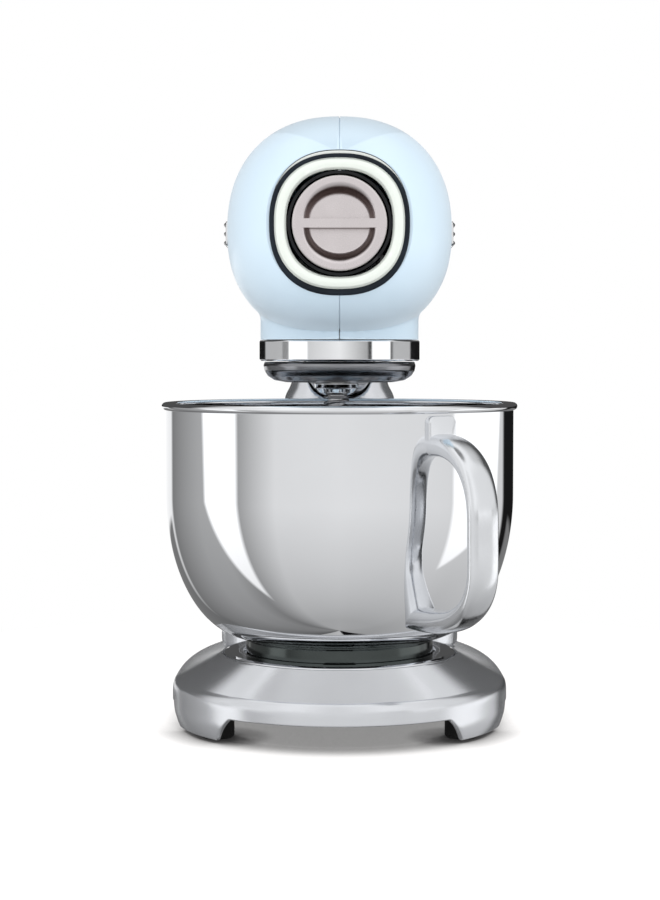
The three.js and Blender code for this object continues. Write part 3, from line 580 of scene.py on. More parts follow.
def shell_radius(angle, y, inset=0.0, grow=0.0):
    """How far the head's bare body reaches from its axis, at angles from +X towards +Z."""
    angle = np.asarray(angle, float)
    down = super_radius(angle, HEAD_HALF_WIDTH, HEAD_DOWN, SECTION_POWER)
    up = super_radius(angle, HEAD_HALF_WIDTH, HEAD_UP, SECTION_POWER)
    return np.maximum(0, np.where(np.sin(angle) < 0, down, up) * head_scale(y) - inset + grow)


def head_radius(angle, y, inset=0.0):
    """The body's reach with the neck that grows out of it, softly joined."""
    body = shell_radius(angle, y, inset)
    half = math.sqrt(max(0, (NECK_RADIUS - inset) ** 2 - y * y))
    if half == 0:
        return body
    across = half / np.maximum(1e-6, np.abs(np.cos(angle)))
    neck = np.where(np.sin(angle) < 0, across, 0)
    near = np.maximum(0, 1 - np.abs(body - neck) / NECK_BLEND)
    return np.maximum(body, neck) + near**2 * NECK_BLEND / 4


def head_stations():
    """Places along the head, close together where it curves and where the neck starts."""
    nose_from = math.asin((-NOSE_Y / NOSE_LENGTH) ** (NOSE_POWER / 2))
    nose_to = math.asin((NECK_RADIUS / NOSE_LENGTH) ** (NOSE_POWER / 2))
    nose = [-NOSE_LENGTH * math.sin(u) ** (2 / NOSE_POWER) for u in np.linspace(nose_from, nose_to, 26)]
    neck = [-NECK_RADIUS * math.cos(t) for t in np.linspace(0, math.pi, 72)[1:]]
    length = TAIL_Y - TAIL_START
    tail = [TAIL_START + length * math.sin(u) ** (2 / TAIL_POWER) for u in np.linspace(0, math.pi / 2, 64)]
    edges = [y + d for y in (TONGUE_HOLE + LEVER_HOLE) for d in (-0.05, 0.05)]
    edges += [side * (NECK_RADIUS - d) for side in (-1, 1) for d in (0.0005, 0.01)]
    return sorted(nose + neck + tail[:-1] + edges) + [TAIL_Y - 0.001]


TONGUE_HOLE = (112.0, 190.0)
LEVER_HOLE = (140.0, 188.0)


def last_angle(y):
    """Where a station's outline ends below: at the neck's mouth, the tongue's hole or the seam."""
    if abs(y) < NECK_RADIUS:
        return math.atan2(NECK_BOTTOM - HEAD_Z, math.sqrt(NECK_RADIUS**2 - y * y))
    if TONGUE_HOLE[0] < y < TONGUE_HOLE[1]:
        angle = -math.pi / 2
        for _ in range(6):
            angle = -math.acos(min(1, (TONGUE_HALF + 2) / float(shell_radius(angle, y))))
        return angle
    return -math.pi / 2


def head_shell(side):
    """One half of the head: a 3 mm shell with a rounded edge along the seam."""
    steps = 104
    share = 1 - (1 - np.linspace(0, 1, steps)) ** 1.35  # closer together towards the seam below
    share = np.concatenate([[0, 0.0009, 0.003], share[1:-1], [0.9993, 1]])
    rings = []
    for y in head_stations():
        sunk = np.zeros(len(share))
        sunk[:2] = [0.2, 0.05]
        if abs(y) >= NECK_RADIUS:
            sunk[-2:] = [0.05, 0.2]
        angle = math.pi / 2 - (math.pi / 2 - last_angle(y)) * share
        gap = 3.4 if LEVER_HOLE[0] < y < LEVER_HOLE[1] else SEAM_HALF

        def surface(inset):
            r = head_radius(angle, y, inset)
            x = np.where(np.sin(angle) > 0, np.maximum(gap, r * np.cos(angle)),
                         np.maximum(SEAM_HALF, r * np.cos(angle)))
            z = HEAD_Z + r * np.sin(angle)
            if abs(y) < NECK_RADIUS:
                z = np.maximum(z, NECK_BOTTOM)
            return np.stack([side * x, np.full(len(x), min(y, TAIL_Y - inset)), z], axis=1)

        outer, inner = surface(0), surface(WALL)
        outer += (inner - outer) * sunk[:, None]
        rings.append(np.concatenate([outer, inner[::-1]]))
    return loft(rings)


def seam_lip(angle, start, end):
    """A ribbed strip on the left half that backs the seam between two places along the head."""
    rings = []
    for y in np.linspace(start, end, 60):
        fin, near, far = (float(shell_radius(angle, y, inset)) for inset in (0.9, WALL + 0.05, WALL + 1.2))
        up = 1 if angle > 0 else -1
        section = [(-2.5, near), (-0.25, near), (-0.25, fin), (0.25, fin), (0.25, near), (2.5, near),
                   (2.5, far), (-2.5, far)]
        rings.append([[x, y, HEAD_Z + up * r] for x, r in section])
    return loft(rings)


TOP, BELOW = math.pi / 2, -math.pi / 2
LIPS = [
    (TOP, NOSE_Y + 0.5, LEVER_HOLE[0] - 2),
    (TOP, LEVER_HOLE[1] + 2, TAIL_Y - 4),
    (BELOW, NOSE_Y + 0.5, -NECK_RADIUS - 3),
    (BELOW, NECK_RADIUS + 3, TONGUE_HOLE[0] - 1),
    (BELOW, TONGUE_HOLE[1] + 1, TAIL_Y - 4),
]
add_piece("head_shell_left", join(head_shell(-1), *[seam_lip(*lip) for lip in LIPS]), PAINT, 40)
add_piece("head_shell_right", head_shell(1), PAINT, 40)


def head_body(grow):
    """The head's rear part as a plain solid, to shape what fits around it."""
    angle = np.linspace(0, 2 * math.pi, 128, endpoint=False)
    rings = []
    for u in np.linspace(0, 1, 60):
        y = TAIL_START - 10 + (TAIL_Y - TAIL_START + 10) * math.sin(u * math.pi / 2)
        r = shell_radius(angle, y, grow=grow)
        rings.append(np.stack([r * np.cos(angle), np.full(128, y), HEAD_Z + r * np.sin(angle)], axis=1))
    return loft(rings)


# ---------------------------------------------------------------- trims on the head
band = [(47, 232.3), (49.1, 232.3), (49.7, 233.2), (49.7, 244.2), (49.2, 245), (47, 245)]
add_piece("trim_band", round_part(band, 0.35, FINE), CHROME)


def stadium(radius, straight, sides=128):
    """A slot's outline: two half circles, each set so far from the middle."""
    angle = np.linspace(0, 2 * math.pi, sides, endpoint=False)
    shift = np.sign(np.sin(angle)) * straight
    return np.stack([radius * np.cos(angle), shift + radius * np.sin(angle)], axis=1)


def speed_plate():
    """A slotted plate that lies on the crest of the head."""
    inner, outer = stadium(3.6, 20.4), stadium(11, 20)
    rings = []
    for k, rise in fillet([(0, 0.35, 0), (1, 0.35, 0), (1, 1.7, 0.7), (0, 1.7, 0.5)], steps=4):
        ring = []
        for x, y in inner + (outer - inner) * k:
            scale = head_scale(LEVER_Y + y)
            reach = HEAD_HALF_WIDTH * scale
            crest = HEAD_UP * scale * (1 - abs(x / reach) ** SECTION_POWER) ** (1 / SECTION_POWER)
            ring.append([x, LEVER_Y + y, HEAD_Z + crest + rise])
        rings.append(ring)
    return loft(rings, wrap=True)


add_piece("speed_plate", speed_plate(), CHROME, 40)


def speed_lever():
    """A knob on a stem that stands in the plate's slot."""
    profile = [(0, 2.7, 0), (0.9, 2.7, 0.4), (1, 4.2, 0.8), (0.94, 7.7, 1.1), (0, 7.9, 0)]
    knob = []
    for share, z in fillet(profile, closed=False):
        knob.append([[x * share, y * share, z] for x, y in super_outline(6.5, 5, 3, 72)])
    stem = [[[x, y, z] for x, y in super_outline(2.4, 3.4, 6, 40)] for z in (-18, 5)]
    part = moved(join(loft(knob), loft(stem)), 0, LEVER_TRAVEL, 0)
    return moved(turned(part, "X", LEVER_TILT), 0, LEVER_Y, LEVER_Z)


add_piece("speed_lever", speed_lever(), CHROME)


def side_trim(side):
    """Three rounded flutes on a thin backing, with tapered ends."""
    start, end, half = -4, 58, 7.6
    backing = []
    for rise, grow in ((0, 0), (0.7, 0), (1, -0.35)):
        front, rear, up = start - grow, end + grow, half + grow
        outline = fillet([(front, -up), (rear, -up), (rear, up), (front, up)], 2.2, steps=6)
        backing.append([[rise, y, z] for y, z in outline])
    flutes = []
    for z in (-5.6, 0, 5.6):
        rings = []
        for s in np.linspace(0, 1, 33):
            swell = max(0.02, 1 - abs(2 * s - 1) ** 9) ** 0.5
            y = start + 0.6 + (end - start - 1.2) * s
            rings.append([[0.4 + 2.2 * swell * max(0, math.sin(a)), y, z + 1.7 * swell * math.cos(a)]
                          for a in np.linspace(0, math.pi, 17)])
        flutes.append(loft(rings))
    part = moved(join(loft(backing), *flutes), HEAD_HALF_WIDTH + 0.35, 0, HEAD_Z)
    return part if side > 0 else (part[0] * [-1, 1, 1], part[1])


for side, node in ((-1, "side_trim_left"), (1, "side_trim_right")):
    add_piece(node, side_trim(side), CHROME)


# ---------------------------------------------------------------- front outlet
def squircle_ring(profile, above=0.0, below=0.0, sides=FINE):
    """Outlines of (half width, y) about the head's axis: rounded squares, drawn out by so much
    above and below."""
    rings = []
    for half, y in profile:
        outline = super_outline(half, half, BEZEL_POWER, sides)
        rings.append([[x, y, HEAD_Z + z * (1 + (above if z > 0 else below) / half)] for x, z in outline])
    return loft(rings, wrap=True)


def thin_ring(inner, outer, front, back, above, below):
    """A flat squircle ring between two half widths and two places along Y."""
    return squircle_ring([(inner, front), (outer, front), (outer, back), (inner, back)], above, below)


bezel = [(37, -92.4, 0.3), (37.6, -94.5, 1), (36.2, -98.3, 1.6), (34, -99.4, 2), (31.6, -98.6, 1.4),
         (30.4, -95.6, 1), (30.4, -92.4, 0.3)]
flange = thin_ring(36, 40, -92.35, -92.05, 1.6, 0.5)
add_piece("front_bezel", join(squircle_ring(fillet(bezel, steps=6)), flange), BEZEL)
gasket = [(35.5, -92.4, 0), (40.3, -92.4, 0.3), (40.3, -94.2, 0.9), (39, -95, 0.9), (35.5, -95, 0)]
outline_ring = thin_ring(39.6, 40.2, -92.3, -92.05, 1.9, 0.8)
add_piece("bezel_gasket", join(squircle_ring(fillet(gasket), -0.4, 0.8), outline_ring), GASKET)

housing = [(13, -82), (28.2, -82, 1), (28.2, -96.5), (29.9, -96.5), (29.9, -79), (13, -79)]
add_piece("outlet_housing", moved(along_y(round_part(housing, 0.3, 128)), 0, 0, HEAD_Z), BLACK)


def well_depth(x, z):
    """How deep the cap's face is sunk at a point: two D-shaped wells either side of a bar."""
    past_bar = max(0, abs(z) - BAR_HALF)
    edge = math.hypot(x / WELL_EDGE[0], past_bar / WELL_EDGE[1])
    floor = math.hypot(x / WELL_FLOOR[0], past_bar / WELL_FLOOR[1])
    wall = 1.0
    if floor > 1:
        inside = max(0, 1 - edge)
        wall = inside / (inside + floor - 1)
    t = min(wall, 1, past_bar / BAR_SLOPE)
    return WELL_DEPTH * (0.35 * t + 0.65 * t * t * (3 - 2 * t))


def accessory_cap():
    """The face as rows across a disc, then its edge carried back as rings of the same points."""
    radius = CAP_RADIUS - CAP_EDGE
    bar = [math.asin(z / radius) for z in (2.3, 2.6, 2.75, 2.9, 3.05, 3.2, 3.5)]
    rows = list(np.linspace(-math.pi / 2, math.pi / 2, 97)[1:-1])
    rows = sorted(rows + bar + [-a for a in bar])
    columns = np.linspace(-1, 1, 121)
    wide = len(columns)
    points = [[0, CAP_FACE, HEAD_Z - radius]]
    for row in rows:
        for c in columns:
            x, z = radius * math.cos(row) * c, radius * math.sin(row)
            points.append([x, CAP_FACE + well_depth(x, z), HEAD_Z + z])
    top = len(points)
    points.append([0, CAP_FACE, HEAD_Z + radius])
    grid = [list(range(1 + r * wide, 1 + (r + 1) * wide)) for r in range(len(rows))]
    faces = []
    for low, high in zip(grid, grid[1:]):
        faces += [[low[c], low[c + 1], high[c + 1], high[c]] for c in range(wide - 1)]
    faces += [[0, grid[0][c + 1], grid[0][c]] for c in range(wide - 1)]
    faces += [[top, grid[-1][c], grid[-1][c + 1]] for c in range(wide - 1)]
    ring = [0] + [line[-1] for line in grid] + [top] + [line[0] for line in reversed(grid)]
    turns = np.linspace(0, math.pi / 2, 7)[1:]
    edge = [(CAP_EDGE * math.sin(a), CAP_EDGE - CAP_EDGE * math.cos(a)) for a in turns]
    for out, back in edge + [(CAP_EDGE, CAP_BACK - 0.6), (CAP_EDGE - 0.4, CAP_BACK)]:
        onward = list(range(len(points), len(points) + len(ring)))
        for i in ring:
            x, z = points[i][0], points[i][2] - HEAD_Z
            share = (radius + out) / math.hypot(x, z)
            points.append([x * share, CAP_FACE + back, HEAD_Z + z * share])
        sides = zip(ring, ring[1:] + ring[:1], onward[1:] + onward[:1], onward)
        faces += [list(side) for side in sides]
        ring = onward
    faces.append(ring)
    return np.array(points), faces


add_piece("accessory_cap", accessory_cap(), TAUPE, 50)

# ---------------------------------------------------------------- planetary drive, as seen
hub = [(0, 219.2), (34, 219.2, 4), (40.5, 220.4, 4), (44.6, 223, 4), (46.7, 226.2, 4), (47.3, 229.6, 4),
       (46.4, 231.8, 0.5), (0, 231.8)]
add_piece("planetary_hub", round_part(hub, 0.5, FINE, 8), GUNMETAL)
shaft = [(0, 175), (3.6, 175, 1), (5.2, 176.6, 0.6), (5.2, 179.4, 0.3), (4.6, 180, 0.3), (4.6, 186, 0.3),
         (5.2, 186.6, 0.3), (5.2, 247), (0, 247)]
add_piece("beater_shaft", moved(round_part(shaft, 0.3), TOOL_X, TOOL_Y), SHAFT)
pin = [(0, -9.5), (2, -9.5, 0.6), (2, 9.5, 0.6), (0, 9.5)]
add_piece("beater_pin", moved(turned(along_x(round_part(pin, 0.5)), "Z", -5), TOOL_X, TOOL_Y, 183), SHAFT)
collar = [(5.4, 211.6), (8.2, 211.6, 0.8), (11, 213, 1.5), (13.2, 215.6, 1.5), (13.6, 218.8, 0.4),
          (5.4, 218.8)]
add_piece("spring_collar", moved(round_part(collar, 0.4, 96), TOOL_X, TOOL_Y), CHROME)


def spring(radius, wire, low, high, turns):
    """A coil of round wire between two heights, flat in its first and last half turns."""
    rings = []
    steps = turns * 48
    for i in range(steps + 1):
        a = 2 * math.pi * i / 48
        z = low + wire + (high - low - 2 * wire) * min(1, max(0, (i - 24) / (steps - 48)))
        ring = []
        for b in np.linspace(0, 2 * math.pi, 12, endpoint=False):
            r = radius + wire * math.cos(b)
            ring.append([r * math.cos(a), r * math.sin(a), z + wire * math.sin(b)])
        rings.append(ring)
    return loft(rings)


add_piece("beater_spring", moved(spring(6.9, 0.9, 188, 211.2, 7), TOOL_X, TOOL_Y), DARK_STEEL)

# ---------------------------------------------------------------- bowl
BOWL_BEND = 150  # the wall is upright above this height and a quarter of an ellipse below it
BOWL_FLAT = 58


def bowl_line():
    """The wall's outer face from the floor to the rim, as radius and height."""
    turn = np.linspace(0, math.pi / 2, 110)
    r = BOWL_FLAT + (BOWL_RADIUS - BOWL_FLAT) * np.sin(turn)
    z = BOWL_BEND - (BOWL_BEND - BOWL_FLOOR) * np.cos(turn)
    upright = [(BOWL_RADIUS, z) for z in np.linspace(BOWL_BEND, 200, 12)[1:]]
    return np.concatenate([np.stack([r, z], axis=1), upright])


BOWL_LINE = bowl_line()


def bowl():
    """A spun bowl: a smooth wall of even thickness, and a bead rolled at the rim."""
    outer = BOWL_LINE
    along = np.gradient(outer, axis=0)
    along /= np.linalg.norm(along, axis=1)[:, None]
    inner = outer + np.stack([-along[:, 1], along[:, 0]], axis=1) * BOWL_WALL
    bead = [(BOWL_RADIUS + RIM_ROLL * math.cos(a), RIM_Z + RIM_ROLL * math.sin(a))
            for a in np.radians(np.linspace(-90, 239, 36))]
    profile = [(0, BOWL_FLOOR)] + [tuple(p) for p in outer] + bead
    profile += [tuple(p) for p in inner[::-1]] + [(0, BOWL_FLOOR + BOWL_WALL)]
    return lathe(profile)


add_piece("bowl", bowl(), STEEL, 50)

foot_wall = [(55.5, 48.7), (58.3, 48.7), (58.3, 59.4, 1.2), (59.4, 61.3), (55.5, 61.3)]
lug = fillet([(57, 48.9), (61.4, 48.9), (61.4, 50.4), (57, 50.4)], 0.4)
lugs = [arc_part(lug, a - 7.6, a + 7.6, 12) for a in (0, 120, 240)]
# The foot ring takes the steel darkened with painted shade.
add_piece("bowl_foot_ring", join(round_part(foot_wall, 0.5, FINE), *lugs), FOOT_STEEL_WITH_PAINTED_SHADE)

# The handle's centre line away from the bowl: radius, height, and half its thickness there.
HANDLE_PATH = [
    (105, 184.2, 6.6), (120, 183, 6.4), (132, 178.2, 5.6), (141.5, 169.5, 4.9), (147.8, 155, 4.2),
    (149.2, 132, 4), (148.3, 107.6, 4.1), (142, 95.4, 4.9), (129.6, 86.6, 6), (112, 82.2, 6.8),
    (82, 81.2, 6.6)]
HANDLE_HALF_WIDTH = 10


def handle():
    """A strap that thickens towards both its ends, and the rounded plate that it grows out of."""
    path = smooth_line(HANDLE_PATH, 170)
    along = np.gradient(path[:, :2], axis=0)
    along /= np.linalg.norm(along, axis=1)[:, None]
    section = super_outline(1, 1, 2.8, 56)
    rings = []
    for (r, z, half), (tr, tz) in zip(path, along):
        rings.append([[r + n * half * tz, w * HANDLE_HALF_WIDTH, z - n * half * tr] for w, n in section])
    plate = []
    for depth, grow in ((103.6, 0), (109.6, 0), (110.3, -0.3), (110.6, -1)):
        low, high, half = 178 - grow, 201 + grow, 9.6 + grow
        outline = fillet([(-half, low, 4), (half, low, 4), (half, high, 4), (-half, high, 4)], steps=10)
        plate.append([[depth, w, z] for w, z in outline])
    points, faces = join(loft(rings), loft(plate))
    wall = np.interp(points[:, 2], BOWL_LINE[:, 1], BOWL_LINE[:, 0]) - BOWL_WALL / 2
    points[:, 0] = np.maximum(points[:, 0], np.sqrt(wall**2 - points[:, 1] ** 2))
    return turned((points, faces), "Z", HANDLE_TURN)


add_piece("bowl_handle", handle(), HANDLE, 40)


# ---------------------------------------------------------------- base
def base_outline(inset, angle):
    """The base from above: a half circle at the front, and a long rounded tail."""
    front = np.full(len(angle), BASE_RADIUS - inset, float)
    rear = super_radius(angle, BASE_RADIUS - inset, BASE_REAR - inset, BASE_POWER)
    r = np.where(np.sin(angle) > 0, rear, front)
    return np.stack([r * np.cos(angle), BASE_CENTRE + r * np.sin(angle)], axis=1)


def arch_height(x, y):
    """The skirt's lower edge: it rises in an arch at the front, at each side and at the rear."""
    def arch(distance, half):
        t = min(1, max(0, (half - distance) / 10))
        return SKIRT_Z + (ARCH_Z - SKIRT_Z) * (1.35 * t - 0.35 * t * t if t < 1 else 1)

    if y < -30:
        return arch(abs(x), 77)
    if y > 190:
        return arch(abs(x), 48)
    return arch(abs(y - 87), 84)


def skirt_inset(z):
    """How far the skirt draws in towards its lower edge."""
    return 2.4 * max(0, (12 - z) / 10) ** 1.3


def base_casting():
    """Closed rows of points from the hollow's roof, under the skirt's edge and over the deck."""
    sides = 600
    angle = np.linspace(0, 2 * math.pi, sides, endpoint=False)
    rim = base_outline(0, angle)
    edge = np.array([arch_height(x, y) for x, y in rim])
    circle = np.stack([np.cos(angle), np.sin(angle)], axis=1)

    def row(inset, z):
        """One outline. Both values may differ from point to point."""
        return np.column_stack([base_outline(inset, angle), np.broadcast_to(z, (sides,))])

    lower = np.array([skirt_inset(z) for z in edge])
    roof = ARCH_Z + 6
    rows = [np.tile([0, BASE_CENTRE + 50, roof], (sides, 1)), row(5.5, roof), row(lower + 4, edge + 1.2)]
    for a in np.linspace(0, math.pi, 9):
        rows.append(row(lower + 2 + 2 * math.cos(a), edge + 0.9 - 0.9 * math.sin(a)))
    for k in np.linspace(0, 1, 10)[1:]:
        z = edge + 0.9 + (SKIRT_TOP - edge - 0.9) * k
        rows.append(row(np.array([skirt_inset(v) for v in z]), z))
    for k in np.linspace(0, 1, 10)[1:]:
        inset = 2 * k * (1 - k) * 0.1 + k * k * 2.8
        rows.append(row(inset, (1 - k) ** 2 * SKIRT_TOP + 2 * k * (1 - k) * 29.2 + k * k * CREASE_Z))
    crease = rows[-1]
    seat = np.column_stack([RING_SEAT * circle, np.full(sides, DECK_Z)])
    for t in np.linspace(0, 1, 26)[1:]:
        slope = crease + (seat - crease) * t
        slope[:, 2] = CREASE_Z + (DECK_Z - CREASE_Z) * t**1.05
        rows.append(slope)
    for radius, z in ((73.4, 50.75), (72.8, 50.6), (72.5, 50.1), (72.5, 44.4), (0, 44.4)):
        rows.append(np.column_stack([radius * circle, np.full(sides, z)]))
    return loft(rows)


add_piece("base_casting", base_casting(), SILVER, 42)


# ---------------------------------------------------------------- column, tongue and hinge
def column_ring(z, sides=144):
    """The column's section at a height: it spreads towards its foot."""
    share = min(1, max(0, (z - COLUMN_FOOT) / (HINGE_Z - COLUMN_FOOT)))
    under = min(1, max(0, (SHOULDER_HIGH - z) / (SHOULDER_HIGH - SHOULDER_LOW)))
    half = 33 + 46 * (1 - share) ** 2 + SHOULDER * under**2 * (3 - 2 * under)
    front = 97 + 21 * share**0.6
    rear = 189.5 + 37.5 * (1 - share) ** 1.8
    outline = super_outline(half, (rear - front) / 2, 3.2, sides)
    return [[x, (front + rear) / 2 + y, z] for x, y in outline]


def column():
    """The column less the tongue's throat, the head's sweep and the button's pocket."""
    levels = [36] + list(np.linspace(COLUMN_FOOT, HINGE_Z, 90)) + [262]
    outer = loft([column_ring(z) for z in levels])
    half = TONGUE_HALF + 1.2
    throat = [(x, z + HINGE_Z) for x, z in super_outline(half, 30.4, 2.6, 96)]
    throat_cut = loft([[[x, y, z] for x, z in throat] for y in (82, 146)])
    turn = np.linspace(0, math.pi / 2, 24)
    ears = [(HINGE_Y + EAR_RADIUS * math.sin(a), HINGE_Z + EAR_RADIUS * math.cos(a)) for a in turn]
    rear = side_prism(ears + [(240, HINGE_Z), (240, 300), (HINGE_Y, 300)], 60)
    button = along_y(prism(super_outline(9.35, 9.35, 2, 96), 172, 230))
    bore = along_y(prism(super_outline(4.4, 4.4, 2, 48), 140, 230))
    cutters = [
        head_body(1.6),
        throat_cut,
        block((-half, half), (80, 220), (HINGE_Z, 300)),
        block((-half, half), (142, 183), (HINGE_Z - 14.8, 300)),
        rear,
        moved(button, 0, 0, BUTTON_Z),
        moved(bore, 0, 0, BUTTON_Z),
    ]
    return cast("fine_column_casting", outer, cutters, 0.9, 7)


add_piece("column_casting", column(), SILVER, 80)


def tongue():
    """The head's half of the hinge: a side outline, rounded underneath to suit the throat."""
    turn = np.radians(np.linspace(-90, 54, 40))
    arc = [(HINGE_Y + 14 * math.cos(a), HINGE_Z + 14 * math.sin(a)) for a in turn]
    front = [(116.5, 250.6, 0), (116.5, 212, 8), (124, 209.4, 10), (134, 211.8, 8), (148, 222, 6)]
    front = fillet(front, closed=False)
    outline = [tuple(p) for p in front] + arc + [(HINGE_Y + 7, 250.6)]
    angle = np.linspace(-math.pi, 0, 49)
    reach = super_radius(angle, TONGUE_HALF, 29, 2.6)
    hull = list(zip(reach * np.cos(angle), HINGE_Z + reach * np.sin(angle)))
    hull += [(TONGUE_HALF, 260), (-TONGUE_HALF, 260)]
    lower = loft([[[x, y, z] for x, z in hull] for y in (95, 195)])
    return cast("fine_hinge_tongue", side_prism(outline, 30), [], 0.8, 5, kept=lower)


add_piece("hinge_tongue", tongue(), SILVER, 80)

hinge_cap = [(0, 33.6), (9, 33.6), (9, 34.9, 0.5), (7.6, 36, 0.6), (3.2, 36, 0.3), (2.6, 35.2, 0.3),
             (0, 35.2)]
for side, node in ((-1, "hinge_cap_left"), (1, "hinge_cap_right")):
    part = turned(along_x(round_part(hinge_cap, 0.3)), "Z", 0 if side > 0 else 180)
    add_piece(node, moved(part, 0, HINGE_Y, HINGE_Z), CHROME)
bumper = [(0, 206.4), (5, 206.4), (5, 208.4, 0.5), (4.4, 208.9, 0.4), (0, 208.9)]
add_piece("tilt_bumper", moved(round_part(bumper), 0, 126), RUBBER)
button = [(0, 156), (4, 156, 0.8), (4, 177.5, 0.3), (9, 177.5, 0.4), (9, 193.6, 0.9), (7.6, 194.5, 2),
          (0, 194.1)]
add_piece("release_button", moved(along_y(round_part(button, 0.5)), 0, 0, BUTTON_Z), CHROME)

# ---------------------------------------------------------------- lock ring, feet and gland
disc = [(0, 44.6), (72.2, 44.6), (72.2, 51, 0.8), (70, 52, 1.2), (62.4, 52, 0.5), (62.4, 48.3, 0.4),
        (0, 48.3)]
lip = fillet([(62.8, 50.8), (59.4, 50.8), (59.4, 51.4), (60, 52), (62.8, 52)], 0.2)
lips = [arc_part(lip, a + 9.1, a + 110.9, 90) for a in (30, 150, 270)]
add_piece("bowl_lock_ring", join(round_part(disc, 0.4, FINE), *lips), STEEL)

foot = [(0, 0.9), (3, 0.9, 0.4), (4, 0, 0.4), (9.3, 0, 0.8), (10.4, 1.4, 0.8), (10.4, 17.1), (0, 17.1)]
for node in ("foot_front_left", "foot_front_right", "foot_rear_left", "foot_rear_right"):
    low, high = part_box(node)
    x, y = (low.x + high.x) / 2 / MM, (low.y + high.y) / 2 / MM - AXIS_Y
    add_piece(node, moved(round_part(foot), x, y), RUBBER)
gland = [(3.4, 238), (6, 238), (6, 246.2), (8.4, 246.2), (8.4, 248.4, 0.8), (7.2, 249, 0.6),
         (4.4, 249, 0.8), (3.4, 247.6)]
add_piece("cord_gland", moved(along_y(round_part(gland, 0.4)), 0, 0, 24), BLACK)


# ---------------------------------------------------------------- studio
# Brightness around the object, as stops of (azimuth in degrees, level). The camera stands at 0.
BELOW_LEVEL = [
    (-180, 1.1), (-146, 0.95), (-142, 0.22), (-104, 0.44), (-85, 0.47), (-70, 0.37), (-42, 0.82),
    (0, 0.86), (40, 0.82), (74, 0.8), (90, 0.75), (134, 0.7), (137, 0.01), (168, 0.01), (171, 0.9),
    (180, 1.1)]
AT_LEVEL = [
    (-180, 0.01), (-136, 0.01), (-131, 0.5), (-91, 0.5), (-88, 0.28), (-79, 0.28), (-76, 1.3),
    (-48, 1.3), (-45, 0.68), (0, 0.95), (40, 0.4), (42.5, 0.04), (46, 0.04), (48, 1.3), (76, 1.3),
    (79, 0.04), (84, 0.5), (120, 0.5), (124, 0.01), (180, 0.01)]
ABOVE_LEVEL = [
    (-180, 0.08), (-112, 0.08), (-96, 0.9), (-60, 0.9), (-35, 1.1), (0, 0.85), (35, 1.1), (60, 0.9),
    (96, 0.9), (112, 0.08), (180, 0.08)]
# Two soft boxes: their side, inner and outer azimuth, and how fast the outer edge leans in.
SIDE_BOXES = ((-1, 69, 103, 0.76), (1, 78, 134, 1.9))
BOX_LIGHT = (1.35, 1.35, 1.35)
TOP_LIGHT = (1.1, 1.1, 1.1)
ZENITH = (0.25, 0.25, 0.25)
FLAG = (0.2, 0.2, 0.2)
SOFT_LIGHT = (1.56, 1.56, 1.56)  # what matt surfaces see, the same all round
BACKDROP = (1.0, 1.0, 1.0)


def value_ramp(tree, position, stops):
    """A grey ramp over an azimuth in degrees from -180 to 180, where 0 faces the camera."""
    ramp = tree.nodes.new("ShaderNodeValToRGB")
    elements = ramp.color_ramp.elements
    while len(elements) > 1:
        elements.remove(elements[-1])
    elements[0].position = 0
    for degrees, value in stops:
        at_start = degrees == stops[0][0]
        element = elements[0] if at_start else elements.new((degrees + 180) / 360)
        element.color = (value, value, value, 1)
    tree.links.new(position, ramp.inputs["Fac"])
    return ramp.outputs["Color"]


def side_box(tree, azimuth, rise, side, inner, outer, lean):
    """How much of a soft box at one side is seen: its lower end leans in towards the camera."""
    angle = remap(tree, azimuth, 0, 1, -180 * side, 180 * side)
    drop = calculate(tree, "MAXIMUM", calculate(tree, "MULTIPLY", rise, -1.0), 0.0)
    leaned = calculate(tree, "MULTIPLY_ADD", drop, 0.12, angle)
    past_inner = calculate(tree, "SUBTRACT", leaned, float(inner))
    short_of_outer = calculate(tree, "SUBTRACT", outer, calculate(tree, "MULTIPLY_ADD", drop, lean, angle))
    from_inner = remap(tree, past_inner, 0, 3, 0, 1)
    to_outer = remap(tree, short_of_outer, 0, 3, 0, 1)
    return calculate(tree, "MULTIPLY", from_inner, to_outer)


def low_flag(tree, x, y, rise):
    """How much of a dark flag is seen, which stands low behind the object."""
    narrow = remap(tree, calculate(tree, "ABSOLUTE", x), 0.5, 0.56, 1, 0)
    behind = calculate(tree, "MULTIPLY", narrow, remap(tree, y, 0.5, 0.6, 0, 1))
    return calculate(tree, "MULTIPLY", behind, remap(tree, rise, -7.6, -6.4, 1, 0))


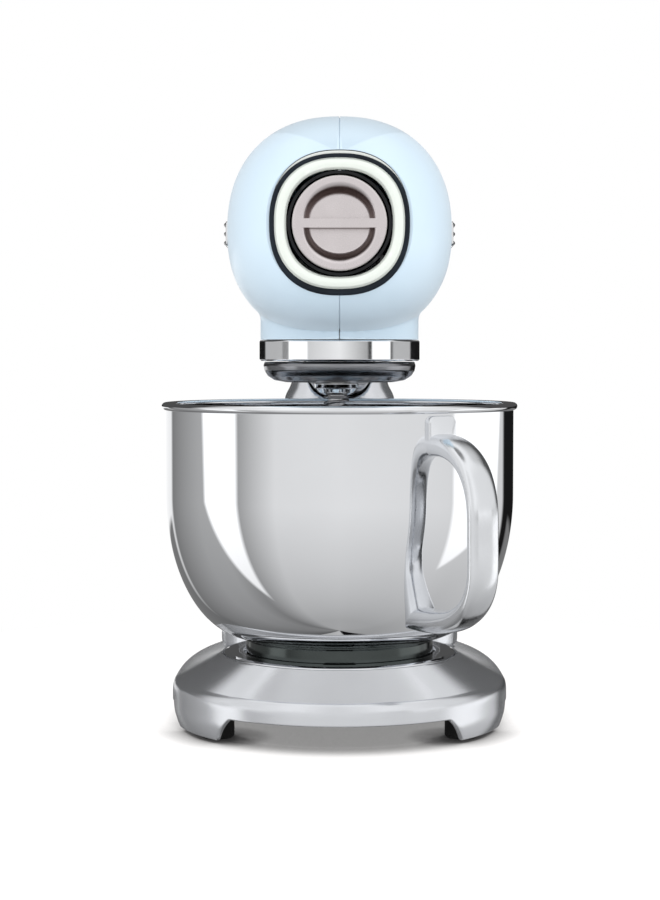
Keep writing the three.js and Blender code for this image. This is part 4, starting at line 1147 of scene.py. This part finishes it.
def studio():
    """Soft boxes and dark flags around the object, seen only in reflections."""
    world = bpy.data.worlds.new("studio")
    bpy.context.scene.world = world
    world.use_nodes = True
    tree = world.node_tree
    direction = tree.nodes.new("ShaderNodeTexCoord").outputs["Generated"]
    split = tree.nodes.new("ShaderNodeSeparateXYZ")
    tree.links.new(direction, split.inputs[0])
    x, y, z = split.outputs
    azimuth = calculate(tree, "ARCTAN2", x, calculate(tree, "MULTIPLY", y, -1.0))
    azimuth = calculate(tree, "MULTIPLY_ADD", azimuth, 0.5 / math.pi, 0.5)
    rise = calculate(tree, "MULTIPLY", calculate(tree, "ARCSINE", z), 180 / math.pi)
    below = mix_colour(tree, low_flag(tree, x, y, rise), value_ramp(tree, azimuth, BELOW_LEVEL), FLAG)
    for side, inner, outer, lean in SIDE_BOXES:
        below = mix_colour(tree, side_box(tree, azimuth, rise, side, inner, outer, lean), below, BOX_LIGHT)
    below = scaled_socket(tree, below, remap(tree, rise, -75, -5, 0.5, 1))
    level = value_ramp(tree, azimuth, AT_LEVEL)
    lower = mix_colour(tree, remap(tree, rise, -1.3, -0.7, 0, 1), below, level)
    above = value_ramp(tree, azimuth, ABOVE_LEVEL)
    raised = mix_colour(tree, remap(tree, rise, 1.5, 3, 0, 1), lower, above)
    overhead = mix_colour(tree, remap(tree, rise, 72, 78, 0, 1), TOP_LIGHT, ZENITH)
    glossy = mix_colour(tree, remap(tree, rise, 40, 62, 0, 1), raised, overhead)
    path = tree.nodes.new("ShaderNodeLightPath")
    softened = calculate(tree, "MINIMUM", path.outputs["Diffuse Depth"], 1.0)
    soft = mix_colour(tree, softened, glossy, SOFT_LIGHT)
    seen = mix_colour(tree, path.outputs["Is Camera Ray"], soft, BACKDROP)
    tree.links.new(seen, tree.nodes["Background"].inputs["Color"])


TABLE_RADIUS = 470
SHADOW_REACH = 26


def floor():
    """A round table top that glows white, with a painted contact shadow where the mixer nearly touches it.
    """
    disc = round_part([(0, -4), (TABLE_RADIUS, -4), (TABLE_RADIUS, 0), (0, 0)], 1.5, 160)
    mesh = mesh_of("table", moved(disc, 0, -AXIS_Y, -0.05))
    material, tree, shader = new_material("white_table")
    place = tree.nodes.new("ShaderNodeTexCoord").outputs["Object"]
    tone = mix_colour(tree, noise(tree, place, 8), (0.08, 0.075, 0.073), (0.085, 0.08, 0.078))
    tree.links.new(tone, shader.inputs["Base Color"])
    painted_shadow_ao = tree.nodes.new("ShaderNodeAmbientOcclusion")
    painted_shadow_ao.samples = 16
    painted_shadow_ao.inputs["Distance"].default_value = SHADOW_REACH * MM
    # Painted shadow: the glow is dimmed by occlusion close to the mixer.
    glow = remap(tree, painted_shadow_ao.outputs["AO"], 0.3, 0.9, 0.02, 1.0)
    tree.links.new(glow, shader.inputs["Emission Strength"])
    shader.inputs["Roughness"].default_value = 0.7
    shader.inputs["Specular IOR Level"].default_value = 0.1
    shader.inputs["Emission Color"].default_value = (1, 0.99, 0.985, 1)
    mesh.materials.append(material)
    mesh.shade_smooth()
    mesh.set_sharp_from_angle(angle=math.radians(30))
    table = add_object("table", mesh)
    table.visible_glossy = False


CAMERA_DISTANCE = 1200  # in front of the bowl's axis
CAMERA_HEIGHT = 235
CAMERA_DIP = 2.775  # degrees below level


def camera():
    data = bpy.data.cameras.new("camera")
    data.lens = 77.1
    data.shift_x = -0.0106
    data.clip_start = 0.05
    made = add_object("camera", data)
    made.location = Vector((0, AXIS_Y - CAMERA_DISTANCE, CAMERA_HEIGHT)) * MM
    made.rotation_euler = (math.radians(90 - CAMERA_DIP), 0, 0)
    bpy.context.scene.camera = made


studio()
floor()
camera()
bpy.context.scene.view_settings.view_transform = "Standard"
